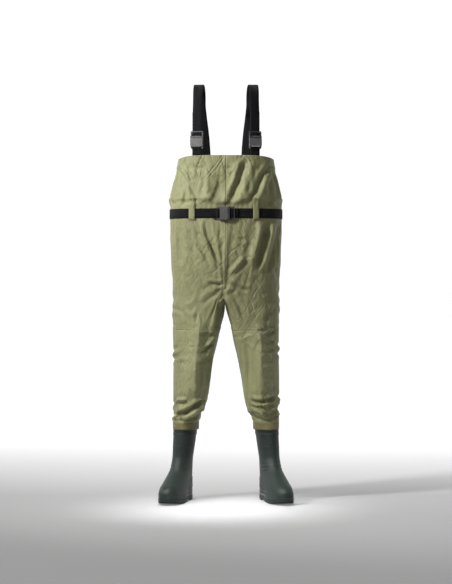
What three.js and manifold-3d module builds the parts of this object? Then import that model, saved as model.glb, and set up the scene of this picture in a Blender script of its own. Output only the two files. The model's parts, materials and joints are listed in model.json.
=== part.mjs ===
// Chest waders with fixed rubber boots: a coated fabric garment, webbing braces and belt, and side-release
// buckles. Millimetres, +Z up, standing on the soles, with the wearer's front towards -Y and the wearer's
// left towards +X. The garment is drawn as worn, with the legs a little apart and the toes turned out.

import * as THREE from 'three';
import { mergeVertices } from 'three/addons/utils/BufferGeometryUtils.js';
import Module from 'manifold-3d';

const wasm = await Module();
wasm.setup();

// ---------------------------------------------------------------- driving dimensions

const crotchHeight = 817;
const torsoLength = 553;
const beltHeight = 1141;
const braceRise = 280; // shoulder above the bib's top edge

const bibWidth = 380;
const bibDepth = 244;
const waistWidth = 450;
const waistDepth = 286;
const seatWidth = 436;
const seatDepth = 296;
const crotchWidth = 424;
const crotchDepth = 262;

const fabricThickness = 2.5;
const seamGap = 0.3;
const sewnGap = 0.4;
const hemDepth = 48;
const seamTapeWidth = 22;
const seamTapeThickness = 0.8;

const kneeSeamHeight = 700;
const kneeFoldTop = 580;
const kneeHeight = 510;
const kneeFoldBottom = 440;

const webbingWidth = 38;
const webbingThickness = 2.2;
const beltClearance = 1;
const loopWidth = 24;
const loopLength = 74;
const loopThickness = 2;
const loopHemLength = 9;

const buckleRim = 6; // plastic at each side of the webbing
const buckleThickness = 11;
const socketLength = 30;
const barLength = 4;
const slotLength = 6;
const clipBaseLength = 8;
const prongSweep = 22; // how far the prongs reach into the socket
const prongWidth = 5;
const fitClearance = 0.5;
const buckleRise = 26; // lower bar of a brace buckle above the bib's top edge

const bootShaftHeight = 314;
const bootShaftWidth = 90;
const bootShaftDepth = 134;
const ankleWidth = 76;
const ankleDepth = 126;
const ankleHeight = 170;
const footLength = 295;
const footWidth = 97;
const heelBehindAnkle = 71;
const bootWall = 4;
const soleThickness = 20;
const soleLip = 2.5;
const cleatDepth = 5;
const heelBlockLength = 68;
const waistLength = 60;
const grooveWidth = 6;
const frontGrooves = 6;
const heelGrooves = [0.68, 0.45]; // shares of the heel's reach behind the ankle
const toeOut = THREE.MathUtils.degToRad(17);
const ankleSpread = 173; // ankle centre from the middle plane
const ankleBack = 20;
const shaftLean = 13; // the boot shaft's top leans in over the ankle
const cuffHeight = 30;
const cuffThickness = 2;
const insoleThickness = 4;

const bibTop = crotchHeight + torsoLength;
const loopZone = loopLength / 2 + loopHemLength;
const cuffBottom = bootShaftHeight - cuffHeight;

// ---------------------------------------------------------------- materials

function finish(color, roughness, metalness = 0) {
  return new THREE.MeshStandardMaterial({ color, roughness, metalness });
}

const olive = finish(0x7d7a50, 0.75);
const cuffOlive = finish(0x73693f, 0.7);
const tapeGrey = finish(0x55564a, 0.6);
const blackWebbing = finish(0x1b1b20, 0.85);
const bucklePlastic = finish(0x4c4a4a, 0.45);
const darkPlastic = finish(0x26262a, 0.45);
const bootRubber = finish(0x37463f, 0.5);
const soleRubber = finish(0x2f3b35, 0.6);
const feltGrey = finish(0x6a6a66, 0.9);

const model = new THREE.Group();

function addPiece(name, geometry, material, parent = model) {
  const mesh = new THREE.Mesh(geometry, material);
  mesh.name = name;
  parent.add(mesh);
  return mesh;
}

// ---------------------------------------------------------------- solids from rows of points

function geometryFrom(points, triangles) {
  const vertices = new Float32Array(points.flatMap((point) => point.toArray()));
  const corner = (index) => points[index];
  const volume = triangles.reduce((sum, [a, b, c]) => {
    return sum + corner(a).dot(new THREE.Vector3().crossVectors(corner(b), corner(c)));
  }, 0);
  const facing = volume > 0 ? triangles : triangles.map(([a, b, c]) => [a, c, b]);
  const geometry = new THREE.BufferGeometry();
  geometry.setAttribute('position', new THREE.BufferAttribute(vertices, 3));
  geometry.setIndex(facing.flat());
  geometry.computeVertexNormals();
  return geometry;
}

// A closed sheet between an outer and an inner grid of points, [row][column]. A wrapping sheet is a tube;
// with a floor, the tube's first rows are closed across, as in a boot.
function sheetSolid(outer, inner, { wraps = false, floor = false } = {}) {
  const rows = outer.length;
  const columns = outer[0].length;
  const points = [...outer.flat(), ...inner.flat()];
  const triangles = [];
  const at = (side, row, column) => side * rows * columns + row * columns + (column % columns);
  const quad = (a, b, c, d) => triangles.push([a, b, c], [a, c, d]);
  const spans = wraps ? columns : columns - 1;
  const middle = (row) => {
    const sum = row.reduce((total, point) => total.add(point), new THREE.Vector3());
    return sum.divideScalar(row.length);
  };
  for (let column = 0; column < spans; column += 1) {
    for (let row = 0; row < rows - 1; row += 1) {
      quad(at(0, row, column), at(0, row, column + 1), at(0, row + 1, column + 1), at(0, row + 1, column));
      quad(at(1, row, column), at(1, row + 1, column), at(1, row + 1, column + 1), at(1, row, column + 1));
    }
    const last = rows - 1;
    quad(at(0, last, column), at(0, last, column + 1), at(1, last, column + 1), at(1, last, column));
    if (!floor) {
      quad(at(0, 0, column), at(1, 0, column), at(1, 0, column + 1), at(0, 0, column + 1));
    }
  }
  if (floor) {
    points.push(middle(outer[0]), middle(inner[0]));
    const [under, over] = [points.length - 2, points.length - 1];
    for (let column = 0; column < columns; column += 1) {
      triangles.push([under, at(0, 0, column + 1), at(0, 0, column)]);
      triangles.push([over, at(1, 0, column), at(1, 0, column + 1)]);
    }
  }
  for (let row = 0; !wraps && row < rows - 1; row += 1) {
    quad(at(0, row, 0), at(0, row + 1, 0), at(1, row + 1, 0), at(1, row, 0));
    const end = columns - 1;
    quad(at(0, row, end), at(1, row, end), at(1, row + 1, end), at(0, row + 1, end));
  }
  return geometryFrom(points, triangles);
}

// The outline moved inwards by a distance, each side staying parallel to itself. An open outline ends on
// the middle plane, and is treated as if it went on as its own mirror image.
function inset(outline, distance, closed) {
  const count = outline.length;
  const mirrored = (point, end) => new THREE.Vector3(2 * end.x - point.x, point.y, point.z);
  const turnSign = Math.sign(outline.reduce((sum, point, index) => {
    const next = outline[(index + 1) % count];
    return sum + point.x * next.y - next.x * point.y;
  }, 0));
  return outline.map((point, index) => {
    const isFirst = !closed && index === 0;
    const isLast = !closed && index === count - 1;
    const before = isFirst ? mirrored(outline[1], point) : outline[(index + count - 1) % count];
    const after = isLast ? mirrored(outline[count - 2], point) : outline[(index + 1) % count];
    const sides = [point.clone().sub(before), after.clone().sub(point)].map((side) => {
      return new THREE.Vector2(-side.y, side.x).multiplyScalar(turnSign).normalize();
    });
    const across = sides[0].clone().add(sides[1]);
    const scale = (2 * distance) / across.lengthSq();
    return new THREE.Vector3(point.x + across.x * scale, point.y + across.y * scale, point.z);
  });
}

// A flat strip that follows a path: width across, thickness along the path's own normal. The direction of
// the width may change along the path.
function ribbon(path, across, width, thickness) {
  const count = path.length;
  const widthAt = (index) => (Array.isArray(across) ? across[index] : across);
  const normals = path.map((point, index) => {
    const before = path[Math.max(index - 1, 0)];
    const after = path[Math.min(index + 1, count - 1)];
    const normalOf = (from, to) => {
      return new THREE.Vector3().subVectors(to, from).cross(widthAt(index)).normalize();
    };
    if (index === 0 || index === count - 1) {
      return normalOf(before, after);
    }
    const sum = normalOf(before, point).add(normalOf(point, after));
    return sum.multiplyScalar(2 / sum.lengthSq());
  });
  const edge = (side) => path.map((point, index) => {
    const offset = normals[index].clone().multiplyScalar((side * thickness) / 2);
    const half = widthAt(index).clone().multiplyScalar(width / 2);
    const middle = point.clone().add(offset);
    return [middle.clone().sub(half), middle.clone().add(half)];
  });
  return sheetSolid(edge(1), edge(-1));
}

// ---------------------------------------------------------------- joining and cutting

function toSolid(geometry) {
  const bare = new THREE.BufferGeometry();
  bare.setAttribute('position', geometry.getAttribute('position').clone());
  if (geometry.index) {
    bare.setIndex(geometry.index.clone());
  }
  const merged = mergeVertices(bare, 1e-3);
  return new wasm.Manifold(new wasm.Mesh({
    numProp: 3,
    vertProperties: new Float32Array(merged.getAttribute('position').array),
    triVerts: new Uint32Array(merged.index.array),
  }));
}

function fromSolid(solid) {
  const mesh = solid.getMesh();
  const geometry = new THREE.BufferGeometry();
  geometry.setAttribute('position', new THREE.BufferAttribute(mesh.vertProperties, 3));
  geometry.setIndex(new THREE.BufferAttribute(mesh.triVerts, 1));
  geometry.computeVertexNormals();
  return geometry;
}

function boxSolid([x0, x1], [y0, y1], [z0, z1]) {
  const box = new THREE.BoxGeometry(x1 - x0, y1 - y0, z1 - z0);
  box.translate((x0 + x1) / 2, (y0 + y1) / 2, (z0 + z1) / 2);
  return toSolid(box);
}

// An outline drawn in X and Z, given a thickness from y0 to y1.
function plate(outline, [y0, y1]) {
  const depth = y1 - y0;
  const geometry = new THREE.ExtrudeGeometry(outline, { depth, bevelEnabled: false, curveSegments: 3 });
  geometry.rotateX(Math.PI / 2);
  geometry.translate(0, y1, 0);
  return geometry;
}

function roundedOutline([x0, x1], [z0, z1], radius) {
  const outline = new THREE.Shape();
  outline.moveTo(x0 + radius, z0);
  outline.lineTo(x1 - radius, z0);
  outline.absarc(x1 - radius, z0 + radius, radius, -Math.PI / 2, 0);
  outline.lineTo(x1, z1 - radius);
  outline.absarc(x1 - radius, z1 - radius, radius, 0, Math.PI / 2);
  outline.lineTo(x0 + radius, z1);
  outline.absarc(x0 + radius, z1 - radius, radius, Math.PI / 2, Math.PI);
  outline.lineTo(x0, z0 + radius);
  outline.absarc(x0 + radius, z0 + radius, radius, Math.PI, 1.5 * Math.PI);
  return outline;
}

// ---------------------------------------------------------------- outline of the body

// height, width, depth and squareness of the garment's section, from the crotch to the bib's top edge
const bodySections = [
  [crotchHeight, crotchWidth, crotchDepth, 2.3],
  [crotchHeight + 110, seatWidth, seatDepth, 2.4],
  [beltHeight - loopZone, waistWidth, waistDepth, 2.5],
  [beltHeight + loopZone, waistWidth, waistDepth, 2.5],
  [bibTop - 95, (bibWidth + waistWidth) / 2 + 10, (bibDepth + waistDepth) / 2, 2.7],
  [bibTop - hemDepth, bibWidth + 12, bibDepth + 6, 2.9],
  [bibTop, bibWidth, bibDepth, 3],
];

// share of the half width at which each column of the section stands, from the centre front to the side
const sectionShares = [0, 0.26, 0.49, 0.72, 0.88, 0.97];
const strapFacet = 2; // the flat between the columns at 0.49 and 0.72 carries the straps and belt loops
const quarterColumns = sectionShares.length;

function between(sections, height) {
  const last = sections.length - 1;
  const upper = Math.min(Math.max(sections.findIndex((section) => section[0] >= height), 1), last);
  const index = height > sections[last][0] ? last : upper;
  const [low, high] = [sections[index - 1], sections[index]];
  const share = THREE.MathUtils.clamp((height - low[0]) / (high[0] - low[0]), 0, 1);
  return low.map((value, column) => THREE.MathUtils.lerp(value, high[column], share));
}

// One half of the section, from the centre front round the wearer's left side to the centre back.
function halfSection(height) {
  const [, width, depth, squareness] = between(bodySections, height);
  const front = sectionShares.map((share) => {
    const rest = (1 - share ** squareness) ** (1 / squareness);
    return new THREE.Vector3(Math.max((share * width) / 2, seamGap / 2), (-rest * depth) / 2, height);
  });
  const side = new THREE.Vector3(width / 2, 0, height);
  const back = front.map((point) => new THREE.Vector3(point.x, -point.y, height)).reverse();
  return [...front, side, ...back];
}

// ---------------------------------------------------------------- outline of a leg and boot

const sweepOfOuterHalf = THREE.MathUtils.degToRad(130);
const innerWallColumns = 3;
const thighBlendLength = 80;

const upright = new THREE.Vector3(0, 0, 1);

// The angle at which each column of a leg or boot stands, 0 being the outer side and -90 degrees the
// front: round the outside from front to back, then back along the inner wall.
function columnAngles() {
  const outerSteps = 2 * quarterColumns;
  const innerSteps = innerWallColumns + 1;
  const innerSweep = 2 * Math.PI - 2 * sweepOfOuterHalf;
  const outer = Array.from({ length: outerSteps }, (_, step) => {
    return -sweepOfOuterHalf + (2 * sweepOfOuterHalf * step) / outerSteps;
  });
  const inner = Array.from({ length: innerSteps }, (_, step) => {
    return sweepOfOuterHalf + (innerSweep * step) / innerSteps;
  });
  return [...outer, ...inner];
}

function bootCentre(height) {
  const lean = THREE.MathUtils.clamp((height - ankleHeight) / (bootShaftHeight - ankleHeight), 0, 1);
  return new THREE.Vector2(ankleSpread - shaftLean * lean, ankleBack);
}

const toeBeyondAnkle = footLength - heelBehindAnkle;

// height, reach towards the toe, reach towards the heel, width and squareness of the boot's section
const bootSections = [
  [soleThickness + seamGap, toeBeyondAnkle, heelBehindAnkle, footWidth, 2.5],
  [38, toeBeyondAnkle + 2, heelBehindAnkle + 1, footWidth + 2, 2.5],
  [60, toeBeyondAnkle - 9, heelBehindAnkle - 1, footWidth - 3, 2.4],
  [80, toeBeyondAnkle - 38, heelBehindAnkle - 4, footWidth - 7, 2.3],
  [100, 146, 65, 86, 2.2],
  [124, 102, 63, 80, 2.1],
  [ankleHeight, ankleDepth / 2, ankleDepth / 2, ankleWidth, 2],
  [240, bootShaftDepth / 2 - 2, bootShaftDepth / 2, bootShaftWidth - 5, 2],
  [bootShaftHeight, bootShaftDepth / 2, bootShaftDepth / 2, bootShaftWidth, 2],
];
const ballWidening = 0.1;

function bootSection(height, grow = 0) {
  const [, toe, heel, width, squareness] = between(bootSections, height);
  const centre = bootCentre(height);
  const middle = (heel - toe) / 2;
  const isFoot = THREE.MathUtils.clamp((ankleHeight - height) / (ankleHeight - soleThickness), 0, 1);
  const outline = columnAngles().map((angle) => {
    const bulge = (value) => Math.sign(value) * Math.abs(value) ** (2 / squareness);
    const [across, along] = [bulge(Math.cos(angle)), bulge(Math.sin(angle))];
    const widening = 1 - ballWidening * isFoot * along;
    const point = new THREE.Vector3((across * widening * width) / 2, middle + (along * (toe + heel)) / 2, 0);
    point.applyAxisAngle(upright, toeOut);
    return point.add(new THREE.Vector3(centre.x, centre.y, height));
  });
  return inset(outline, -grow, true);
}

// height, centre X, centre Y, width, depth and turn of the leg's section, from above the boot up
const legSections = [
  [bootShaftHeight + 20, 156, 20, 106, 144, 0.85 * toeOut],
  [380, 148, 13, 130, 156, 0.5 * toeOut],
  [kneeFoldBottom, 141, 6, 143, 166, 0.2 * toeOut],
  [kneeHeight, 133, -1, 154, 172, 0],
  [kneeFoldTop, 125, -5, 165, 178, 0],
  [640, 118, -4, 178, 188, 0],
  [kneeSeamHeight, 113, -2, 193, 208, 0],
  [770, 110, 0, 208, 238, 0],
  [crotchHeight, 107, 0, 212, crotchDepth, 0],
];

// The leg's section: the boot's shaft below, then a plain oval, growing into half of the body's section
// at the crotch.
function legSection(height) {
  if (height <= bootShaftHeight) {
    return bootSection(height, fabricThickness + sewnGap);
  }
  const [, x, y, width, depth, turn] = between(legSections, height);
  const oval = columnAngles().map((angle) => {
    const point = new THREE.Vector3((width / 2) * Math.cos(angle), (depth / 2) * Math.sin(angle), 0);
    return point.applyAxisAngle(upright, turn).add(new THREE.Vector3(x, y, height));
  });
  const outer = halfSection(crotchHeight);
  const [front, back] = [outer[0], outer[outer.length - 1]];
  const innerWall = Array.from({ length: innerWallColumns }, (_, column) => {
    return back.clone().lerp(front, (column + 1) / (innerWallColumns + 1));
  });
  const ovalShare = THREE.MathUtils.clamp((crotchHeight - height) / thighBlendLength, 0, 1);
  return [...outer, ...innerWall].map((point, column) => {
    const shaped = point.clone().lerp(oval[column], ovalShare);
    return new THREE.Vector3(shaped.x, shaped.y, height);
  });
}

function legTube(from, to) {
  const sectionHeights = legSections.map((section) => section[0]);
  const stops = [bootShaftHeight, ...sectionHeights, crotchHeight - thighBlendLength];
  const inside = stops.filter((stop) => stop > from && stop < to).sort((a, b) => a - b);
  const rows = [from, ...inside, to].map(legSection);
  return sheetSolid(rows, rows.map((row) => inset(row, fabricThickness, true)), { wraps: true });
}

// ---------------------------------------------------------------- left and right

function mirrorGeometry(geometry) {
  const position = geometry.getAttribute('position');
  const points = Array.from({ length: position.count }, (_, index) => {
    return new THREE.Vector3().fromBufferAttribute(position, index).multiply(new THREE.Vector3(-1, 1, 1));
  });
  const order = geometry.index ? [...geometry.index.array] : points.map((_, index) => index);
  const triangles = [];
  for (let start = 0; start < order.length; start += 3) {
    triangles.push(order.slice(start, start + 3));
  }
  return geometryFrom(points, triangles);
}

function addPair(name, geometry, material) {
  addPiece(`${name}_left`, geometry, material);
  addPiece(`${name}_right`, mirrorGeometry(geometry), material);
}

// ---------------------------------------------------------------- garment

function bodyPanel() {
  const rows = bodySections.map((section) => halfSection(section[0]));
  return sheetSolid(rows, rows.map((row) => inset(row, fabricThickness, false)));
}

function seamTape(side) {
  const heights = bodySections.map((section) => section[0]);
  const row = (height, depthInside) => {
    const [, , depth] = between(bodySections, height);
    const y = side * (depth / 2 - fabricThickness - 2 * sewnGap - depthInside);
    return [-1, 1].map((edge) => new THREE.Vector3((edge * seamTapeWidth) / 2, y, height));
  };
  const face = (depthInside) => heights.map((height) => row(height, depthInside));
  return sheetSolid(face(0), face(seamTapeThickness));
}

function legCuff() {
  const heights = [cuffBottom, bootShaftHeight - 1];
  const inner = heights.map((height) => inset(legSection(height), -sewnGap, true));
  const outer = inner.map((row) => inset(row, -cuffThickness, true));
  return sheetSolid(outer, inner, { wraps: true });
}

addPair('body_panel', bodyPanel(), olive);
addPiece('seam_tape_front', seamTape(-1), tapeGrey);
addPiece('seam_tape_back', seamTape(1), tapeGrey);
addPair('crotch_fold', legTube(kneeSeamHeight, crotchHeight - seamGap), olive);
addPair('thigh_panel', legTube(kneeFoldTop, kneeSeamHeight - seamGap), olive);
addPair('knee_fold', legTube(kneeFoldBottom, kneeFoldTop - seamGap), olive);
addPair('shin_panel', legTube(cuffBottom, kneeFoldBottom - seamGap), olive);
addPair('ankle_cuff', legCuff(), cuffOlive);

// ---------------------------------------------------------------- boots

function bootUpper() {
  const heights = bootSections.map((section) => section[0]);
  const outer = heights.map((height) => bootSection(height));
  const inner = outer.map((row, index) => {
    const height = index === 0 ? heights[0] + bootWall : heights[index];
    return inset(row, bootWall, true).map((point) => point.setZ(height));
  });
  return sheetSolid(outer, inner, { wraps: true, floor: true });
}

function slab(outline, bottom, top) {
  const rows = [bottom, top].map((height) => outline.map((point) => point.clone().setZ(height)));
  const points = [...rows[0], ...rows[1]];
  const count = outline.length;
  const triangles = [];
  for (let column = 0; column < count; column += 1) {
    const next = (column + 1) % count;
    triangles.push([column, next, count + next], [column, count + next, count + column]);
  }
  for (let column = 1; column < count - 1; column += 1) {
    triangles.push([0, column + 1, column], [count, count + column, count + column + 1]);
  }
  return geometryFrom(points, triangles);
}

// A block across the whole foot between two distances along it, measured from the ankle towards the toe.
function footBlock(from, to, bottom, top) {
  const box = new THREE.BoxGeometry(2 * footWidth, to - from, top - bottom);
  box.translate(0, -(from + to) / 2, (bottom + top) / 2);
  box.rotateZ(toeOut);
  box.translate(ankleSpread, ankleBack, 0);
  return toSolid(box);
}

function outsole() {
  const outline = bootSection(soleThickness + seamGap, soleLip);
  let sole = toSolid(slab(outline, 0, soleThickness));
  const heelFront = -heelBehindAnkle + heelBlockLength;
  const waistFront = heelFront + waistLength;
  sole = sole.subtract(footBlock(heelFront, waistFront, -1, soleThickness / 2));
  const pitch = (toeBeyondAnkle - waistFront) / (frontGrooves + 1);
  const front = Array.from({ length: frontGrooves }, (_, groove) => waistFront + (groove + 1) * pitch);
  const heel = heelGrooves.map((share) => -share * heelBehindAnkle);
  for (const place of [...front, ...heel]) {
    sole = sole.subtract(footBlock(place - grooveWidth / 2, place + grooveWidth / 2, -1, cleatDepth));
  }
  return fromSolid(sole);
}

function insole() {
  const floorHeight = soleThickness + seamGap + bootWall + sewnGap;
  const outline = bootSection(soleThickness + seamGap, -(bootWall + 2 * sewnGap));
  return slab(outline, floorHeight, floorHeight + insoleThickness);
}

addPair('boot_upper', bootUpper(), bootRubber);
addPair('outsole', outsole(), soleRubber);
addPair('insole', insole(), feltGrey);

// ---------------------------------------------------------------- side-release buckle

// Drawn upright: X across the webbing, Z along it with the clip above the socket, -Y facing out. The plane
// y = 0 is the middle of the webbing that runs behind the buckle.
const buckleHalf = webbingWidth / 2 + buckleRim;
const slotHalf = webbingWidth / 2 + 1;
const backOfBars = -(webbingThickness / 2 + sewnGap);
const frontOfBars = backOfBars - barLength;
const frontOfBody = backOfBars - buckleThickness;
const bodyWall = 2.6;
const sideWall = 5.5;
const windowLip = 7; // socket wall between its mouth and the prong's window
const prongSetback = 0.4;
const cavity = {
  back: backOfBars - bodyWall,
  front: frontOfBody + bodyWall,
  half: buckleHalf - sideWall,
  floor: 4,
};
const mouth = socketLength;
const prongTip = mouth - prongSweep;
const clipBase = mouth + fitClearance;
const clipSlot = clipBase + clipBaseLength;
const middleBar = clipSlot + slotLength;
const endSlot = middleBar + barLength;
const endBar = endSlot + slotLength;
const clipEnd = endBar + barLength;
const socketSlot = -slotLength;
const socketEnd = socketSlot - barLength;
const barbInset = 1;
const prongRoot = cavity.half - fitClearance - prongWidth / 2;
const prongTop = mouth - prongSetback;

function slotThrough(from, to) {
  return boxSolid([-slotHalf, slotHalf], [frontOfBody - 1, 1], [from, to]);
}

function buckleSocket() {
  const body = roundedOutline([-buckleHalf, buckleHalf], [-1, mouth], 3);
  const tail = roundedOutline([-buckleHalf, buckleHalf], [socketEnd, 2], 3);
  let solid = toSolid(plate(body, [frontOfBody, backOfBars]));
  solid = solid.add(toSolid(plate(tail, [frontOfBars, backOfBars])));
  const { back, front, half, floor } = cavity;
  solid = solid.subtract(boxSolid([-half, half], [front, back], [floor, mouth + 1]));
  const windowFrom = prongTip + barbInset;
  const windowTo = mouth - windowLip;
  for (const side of [-1, 1]) {
    const window = [side * (half - 1), side * (buckleHalf + 1)].sort((a, b) => a - b);
    solid = solid.subtract(boxSolid(window, [front, back], [windowFrom, windowTo]));
  }
  return fromSolid(solid.subtract(slotThrough(socketSlot, 0)));
}

function buckleClip() {
  const frame = roundedOutline([-buckleHalf, buckleHalf], [clipBase, clipEnd], 3);
  let solid = toSolid(plate(frame, [frontOfBars, backOfBars]));
  const base = roundedOutline([-buckleHalf, buckleHalf], [clipBase, clipSlot], 2);
  solid = solid.add(toSolid(plate(base, [frontOfBody, backOfBars])));
  const tongueBack = cavity.back - fitClearance;
  const tongueFront = cavity.front + fitClearance;
  solid = solid.add(boxSolid([-5, 5], [tongueFront, tongueBack], [prongTip + 2, clipBase + 1]));
  solid = solid.subtract(slotThrough(clipSlot, middleBar));
  return fromSolid(solid.subtract(slotThrough(endSlot, endBar)));
}

// One prong, on the +X side: a slim arm with a barb that fills the side window.
function buckleProng(side) {
  const outer = prongRoot + prongWidth / 2;
  const inner = prongRoot - prongWidth / 2;
  const barbOut = buckleHalf + 0.3;
  const barbTop = mouth - windowLip - fitClearance;
  const barbBottom = prongTip + barbInset + fitClearance;
  const outline = new THREE.Shape();
  outline.moveTo(inner, prongTop);
  outline.lineTo(inner, prongTip + 1);
  outline.lineTo(outer - 1.5, prongTip);
  outline.lineTo(outer, barbBottom);
  outline.quadraticCurveTo(barbOut, barbBottom + 2, barbOut, barbTop - 2);
  outline.lineTo(barbOut - 0.8, barbTop);
  outline.lineTo(outer, barbTop);
  outline.lineTo(outer, prongTop);
  outline.closePath();
  const thickness = [cavity.front + fitClearance, cavity.back - fitClearance];
  const prong = plate(outline, thickness);
  return side > 0 ? prong : mirrorGeometry(prong);
}

// Where webbing wraps a bar: points in Y and Z of the buckle, from the webbing behind to its end on top.
const layer = webbingThickness + seamGap;
const overBars = frontOfBars - webbingThickness / 2 - sewnGap;
const tabTail = 24;
const braceTail = 74;
const backRunFoot = 20; // straight webbing above the bib's back edge
const shareOverShoulder = 0.35; // of the brace's sideways drift; the rest is down the back

function wrapOfSocketBar() {
  const slotMiddle = socketSlot / 2;
  return [
    [0, slotMiddle - 0.8],
    [-1, slotMiddle + 0.4],
    [overBars + 1, slotMiddle + 0.4],
    [overBars, slotMiddle - 0.8],
    [overBars, socketEnd - 1.2],
    [-layer, socketEnd - 6],
    [-layer, socketEnd - tabTail],
  ];
}

function wrapOfClipBar() {
  const lowSlot = (clipSlot + middleBar) / 2;
  const highSlot = (endSlot + endBar) / 2;
  return [
    [layer, lowSlot + 1.2],
    [layer - 1, lowSlot - 0.2],
    [overBars + 1, lowSlot - 0.2],
    [overBars, lowSlot + 1.2],
    [overBars, highSlot - 1.2],
    [overBars + 1, highSlot + 0.2],
    [-1, highSlot + 0.2],
    [0, highSlot + 1.6],
    [0, clipEnd + braceTail],
  ];
}

// A frame in the world for a buckle's drawing: turned about Z by a heading, then moved to a place.
function placeFrame(origin, heading) {
  return new THREE.Matrix4().makeRotationZ(heading).setPosition(origin);
}

function addBuckle(names, frame) {
  const group = new THREE.Group();
  group.applyMatrix4(frame);
  model.add(group);
  addPiece(names.socket, buckleSocket(), bucklePlastic, group);
  addPiece(names.clip, buckleClip(), darkPlastic, group);
  addPiece(names.prongs[0], buckleProng(1), darkPlastic, group);
  addPiece(names.prongs[1], buckleProng(-1), darkPlastic, group);
}

// ---------------------------------------------------------------- braces

// The flat of the section that carries a strap: its middle, and the way it faces.
function facetOf(outline, facet) {
  const [from, to] = [outline[facet], outline[facet + 1]];
  const middle = from.clone().add(to).divideScalar(2);
  const along = to.clone().sub(from).normalize();
  const out = new THREE.Vector3(along.y, -along.x, 0);
  return { middle, along, heading: Math.atan2(along.y, along.x), out };
}

const insideOfBib = inset(halfSection(bibTop), fabricThickness + sewnGap + webbingThickness / 2, false);
const frontFacet = facetOf(insideOfBib, strapFacet);
const backFacet = facetOf(insideOfBib, insideOfBib.length - strapFacet - 1);
const buckleOrigin = frontFacet.middle.clone().setZ(bibTop + buckleRise - socketEnd);
const braceFrame = placeFrame(buckleOrigin, frontFacet.heading);
const shoulderHeight = bibTop + braceRise;
const frontRunTop = shoulderHeight - 65;

function inBraceFrame([y, z]) {
  return new THREE.Vector3(0, y, z).applyMatrix4(braceFrame);
}

function braceTab() {
  const path = [[0, bibTop - hemDepth - buckleOrigin.z], ...wrapOfSocketBar()].map(inBraceFrame);
  return ribbon(path, frontFacet.along, webbingWidth, webbingThickness);
}

// The brace above its buckle, wrapped round the clip's middle bar and up to where it meets the shoulder run.
function braceFrontRun() {
  const top = [layer, frontRunTop - buckleOrigin.z];
  const path = [top, ...wrapOfClipBar()].map(inBraceFrame);
  return ribbon(path, frontFacet.along, webbingWidth, webbingThickness);
}

// From the front run over the shoulder and down inside the back hem, turning to face the back.
function braceShoulderRun() {
  const start = inBraceFrame([layer, frontRunTop + seamGap - buckleOrigin.z]);
  const end = backFacet.middle.clone();
  const arcSteps = 10;
  const path = [start];
  const across = [frontFacet.along];
  const endAcross = backFacet.along.clone().negate();
  for (let step = 1; step < arcSteps; step += 1) {
    const angle = (Math.PI * step) / arcSteps;
    const share = (1 - Math.cos(angle)) / 2;
    const point = start.clone().lerp(end, share);
    point.x = THREE.MathUtils.lerp(start.x, end.x, shareOverShoulder * share);
    const rise = shoulderHeight - frontRunTop;
    point.z = frontRunTop + seamGap + rise * Math.sin(angle);
    path.push(point);
    across.push(frontFacet.along.clone().lerp(endAcross, share).normalize());
  }
  const backRun = [
    [frontRunTop, shareOverShoulder],
    [bibTop + backRunFoot, 1],
    [bibTop, 1],
    [bibTop - hemDepth, 1],
  ];
  for (const [height, share] of backRun) {
    path.push(new THREE.Vector3(THREE.MathUtils.lerp(start.x, end.x, share), end.y, height));
    across.push(endAcross);
  }
  return ribbon(path, across, webbingWidth, webbingThickness);
}

addPair('brace_tab', braceTab(), blackWebbing);
addPair('brace_front_run', braceFrontRun(), blackWebbing);
addPair('brace_webbing', braceShoulderRun(), blackWebbing);
for (const [side, sign] of [['left', 1], ['right', -1]]) {
  const place = buckleOrigin.clone().setX(sign * buckleOrigin.x);
  const frame = placeFrame(place, sign * frontFacet.heading);
  const prongs = sign > 0 ? ['outer', 'inner'] : ['inner', 'outer'];
  addBuckle({
    socket: `brace_buckle_socket_${side}`,
    clip: `brace_buckle_clip_${side}`,
    prongs: prongs.map((edge) => `brace_buckle_prong_${edge}_${side}`),
  }, frame);
}

// ---------------------------------------------------------------- belt

const waist = halfSection(beltHeight);
const beltMiddle = inset(waist, -(beltClearance + webbingThickness / 2), false);
const beltFront = beltMiddle[0].y;
const buckleLength = clipEnd - socketEnd;
const beltBuckleOrigin = new THREE.Vector3(-buckleLength / 2 - socketEnd, beltFront - layer, beltHeight);
// the drawing's Z, from socket to clip, lies along +X on the belt
const beltFrame = new THREE.Matrix4().makeRotationY(Math.PI / 2).setPosition(beltBuckleOrigin);

function inBeltFrame([y, z]) {
  return new THREE.Vector3(0, y, z).applyMatrix4(beltFrame);
}

// The belt starts on the socket's bar, runs round the body and ends wrapped on the clip's middle bar.
function beltWebbing() {
  const leftHalf = beltMiddle.slice(1);
  const rightHalf = leftHalf.map((point) => new THREE.Vector3(-point.x, point.y, point.z)).reverse();
  const clipSide = wrapOfClipBar().slice(0, -1).map(inBeltFrame).reverse();
  const socketSide = wrapOfSocketBar().slice(0, -1).map(inBeltFrame);
  const tail = inBeltFrame([0, clipEnd + 6]);
  const path = [tail, ...clipSide, ...leftHalf, ...rightHalf.slice(1), ...socketSide];
  return ribbon(path, upright, webbingWidth, webbingThickness);
}

function beltLoop(facet, shift) {
  const { middle, along, out } = facetOf(waist, facet);
  const gap = sewnGap + loopThickness / 2;
  const overBelt = beltClearance + webbingThickness + 0.8 + loopThickness / 2;
  const half = loopLength / 2;
  const profile = [
    [gap, -half],
    [gap, -half + loopHemLength],
    [overBelt, -webbingWidth / 2 - 3],
    [overBelt, webbingWidth / 2 + 3],
    [gap, half - loopHemLength],
    [gap, half],
  ];
  const path = profile.map(([distance, rise]) => {
    const point = middle.clone().addScaledVector(along, shift).addScaledVector(out, distance);
    return point.setZ(beltHeight + rise);
  });
  return ribbon(path, along, loopWidth, loopThickness);
}

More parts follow.
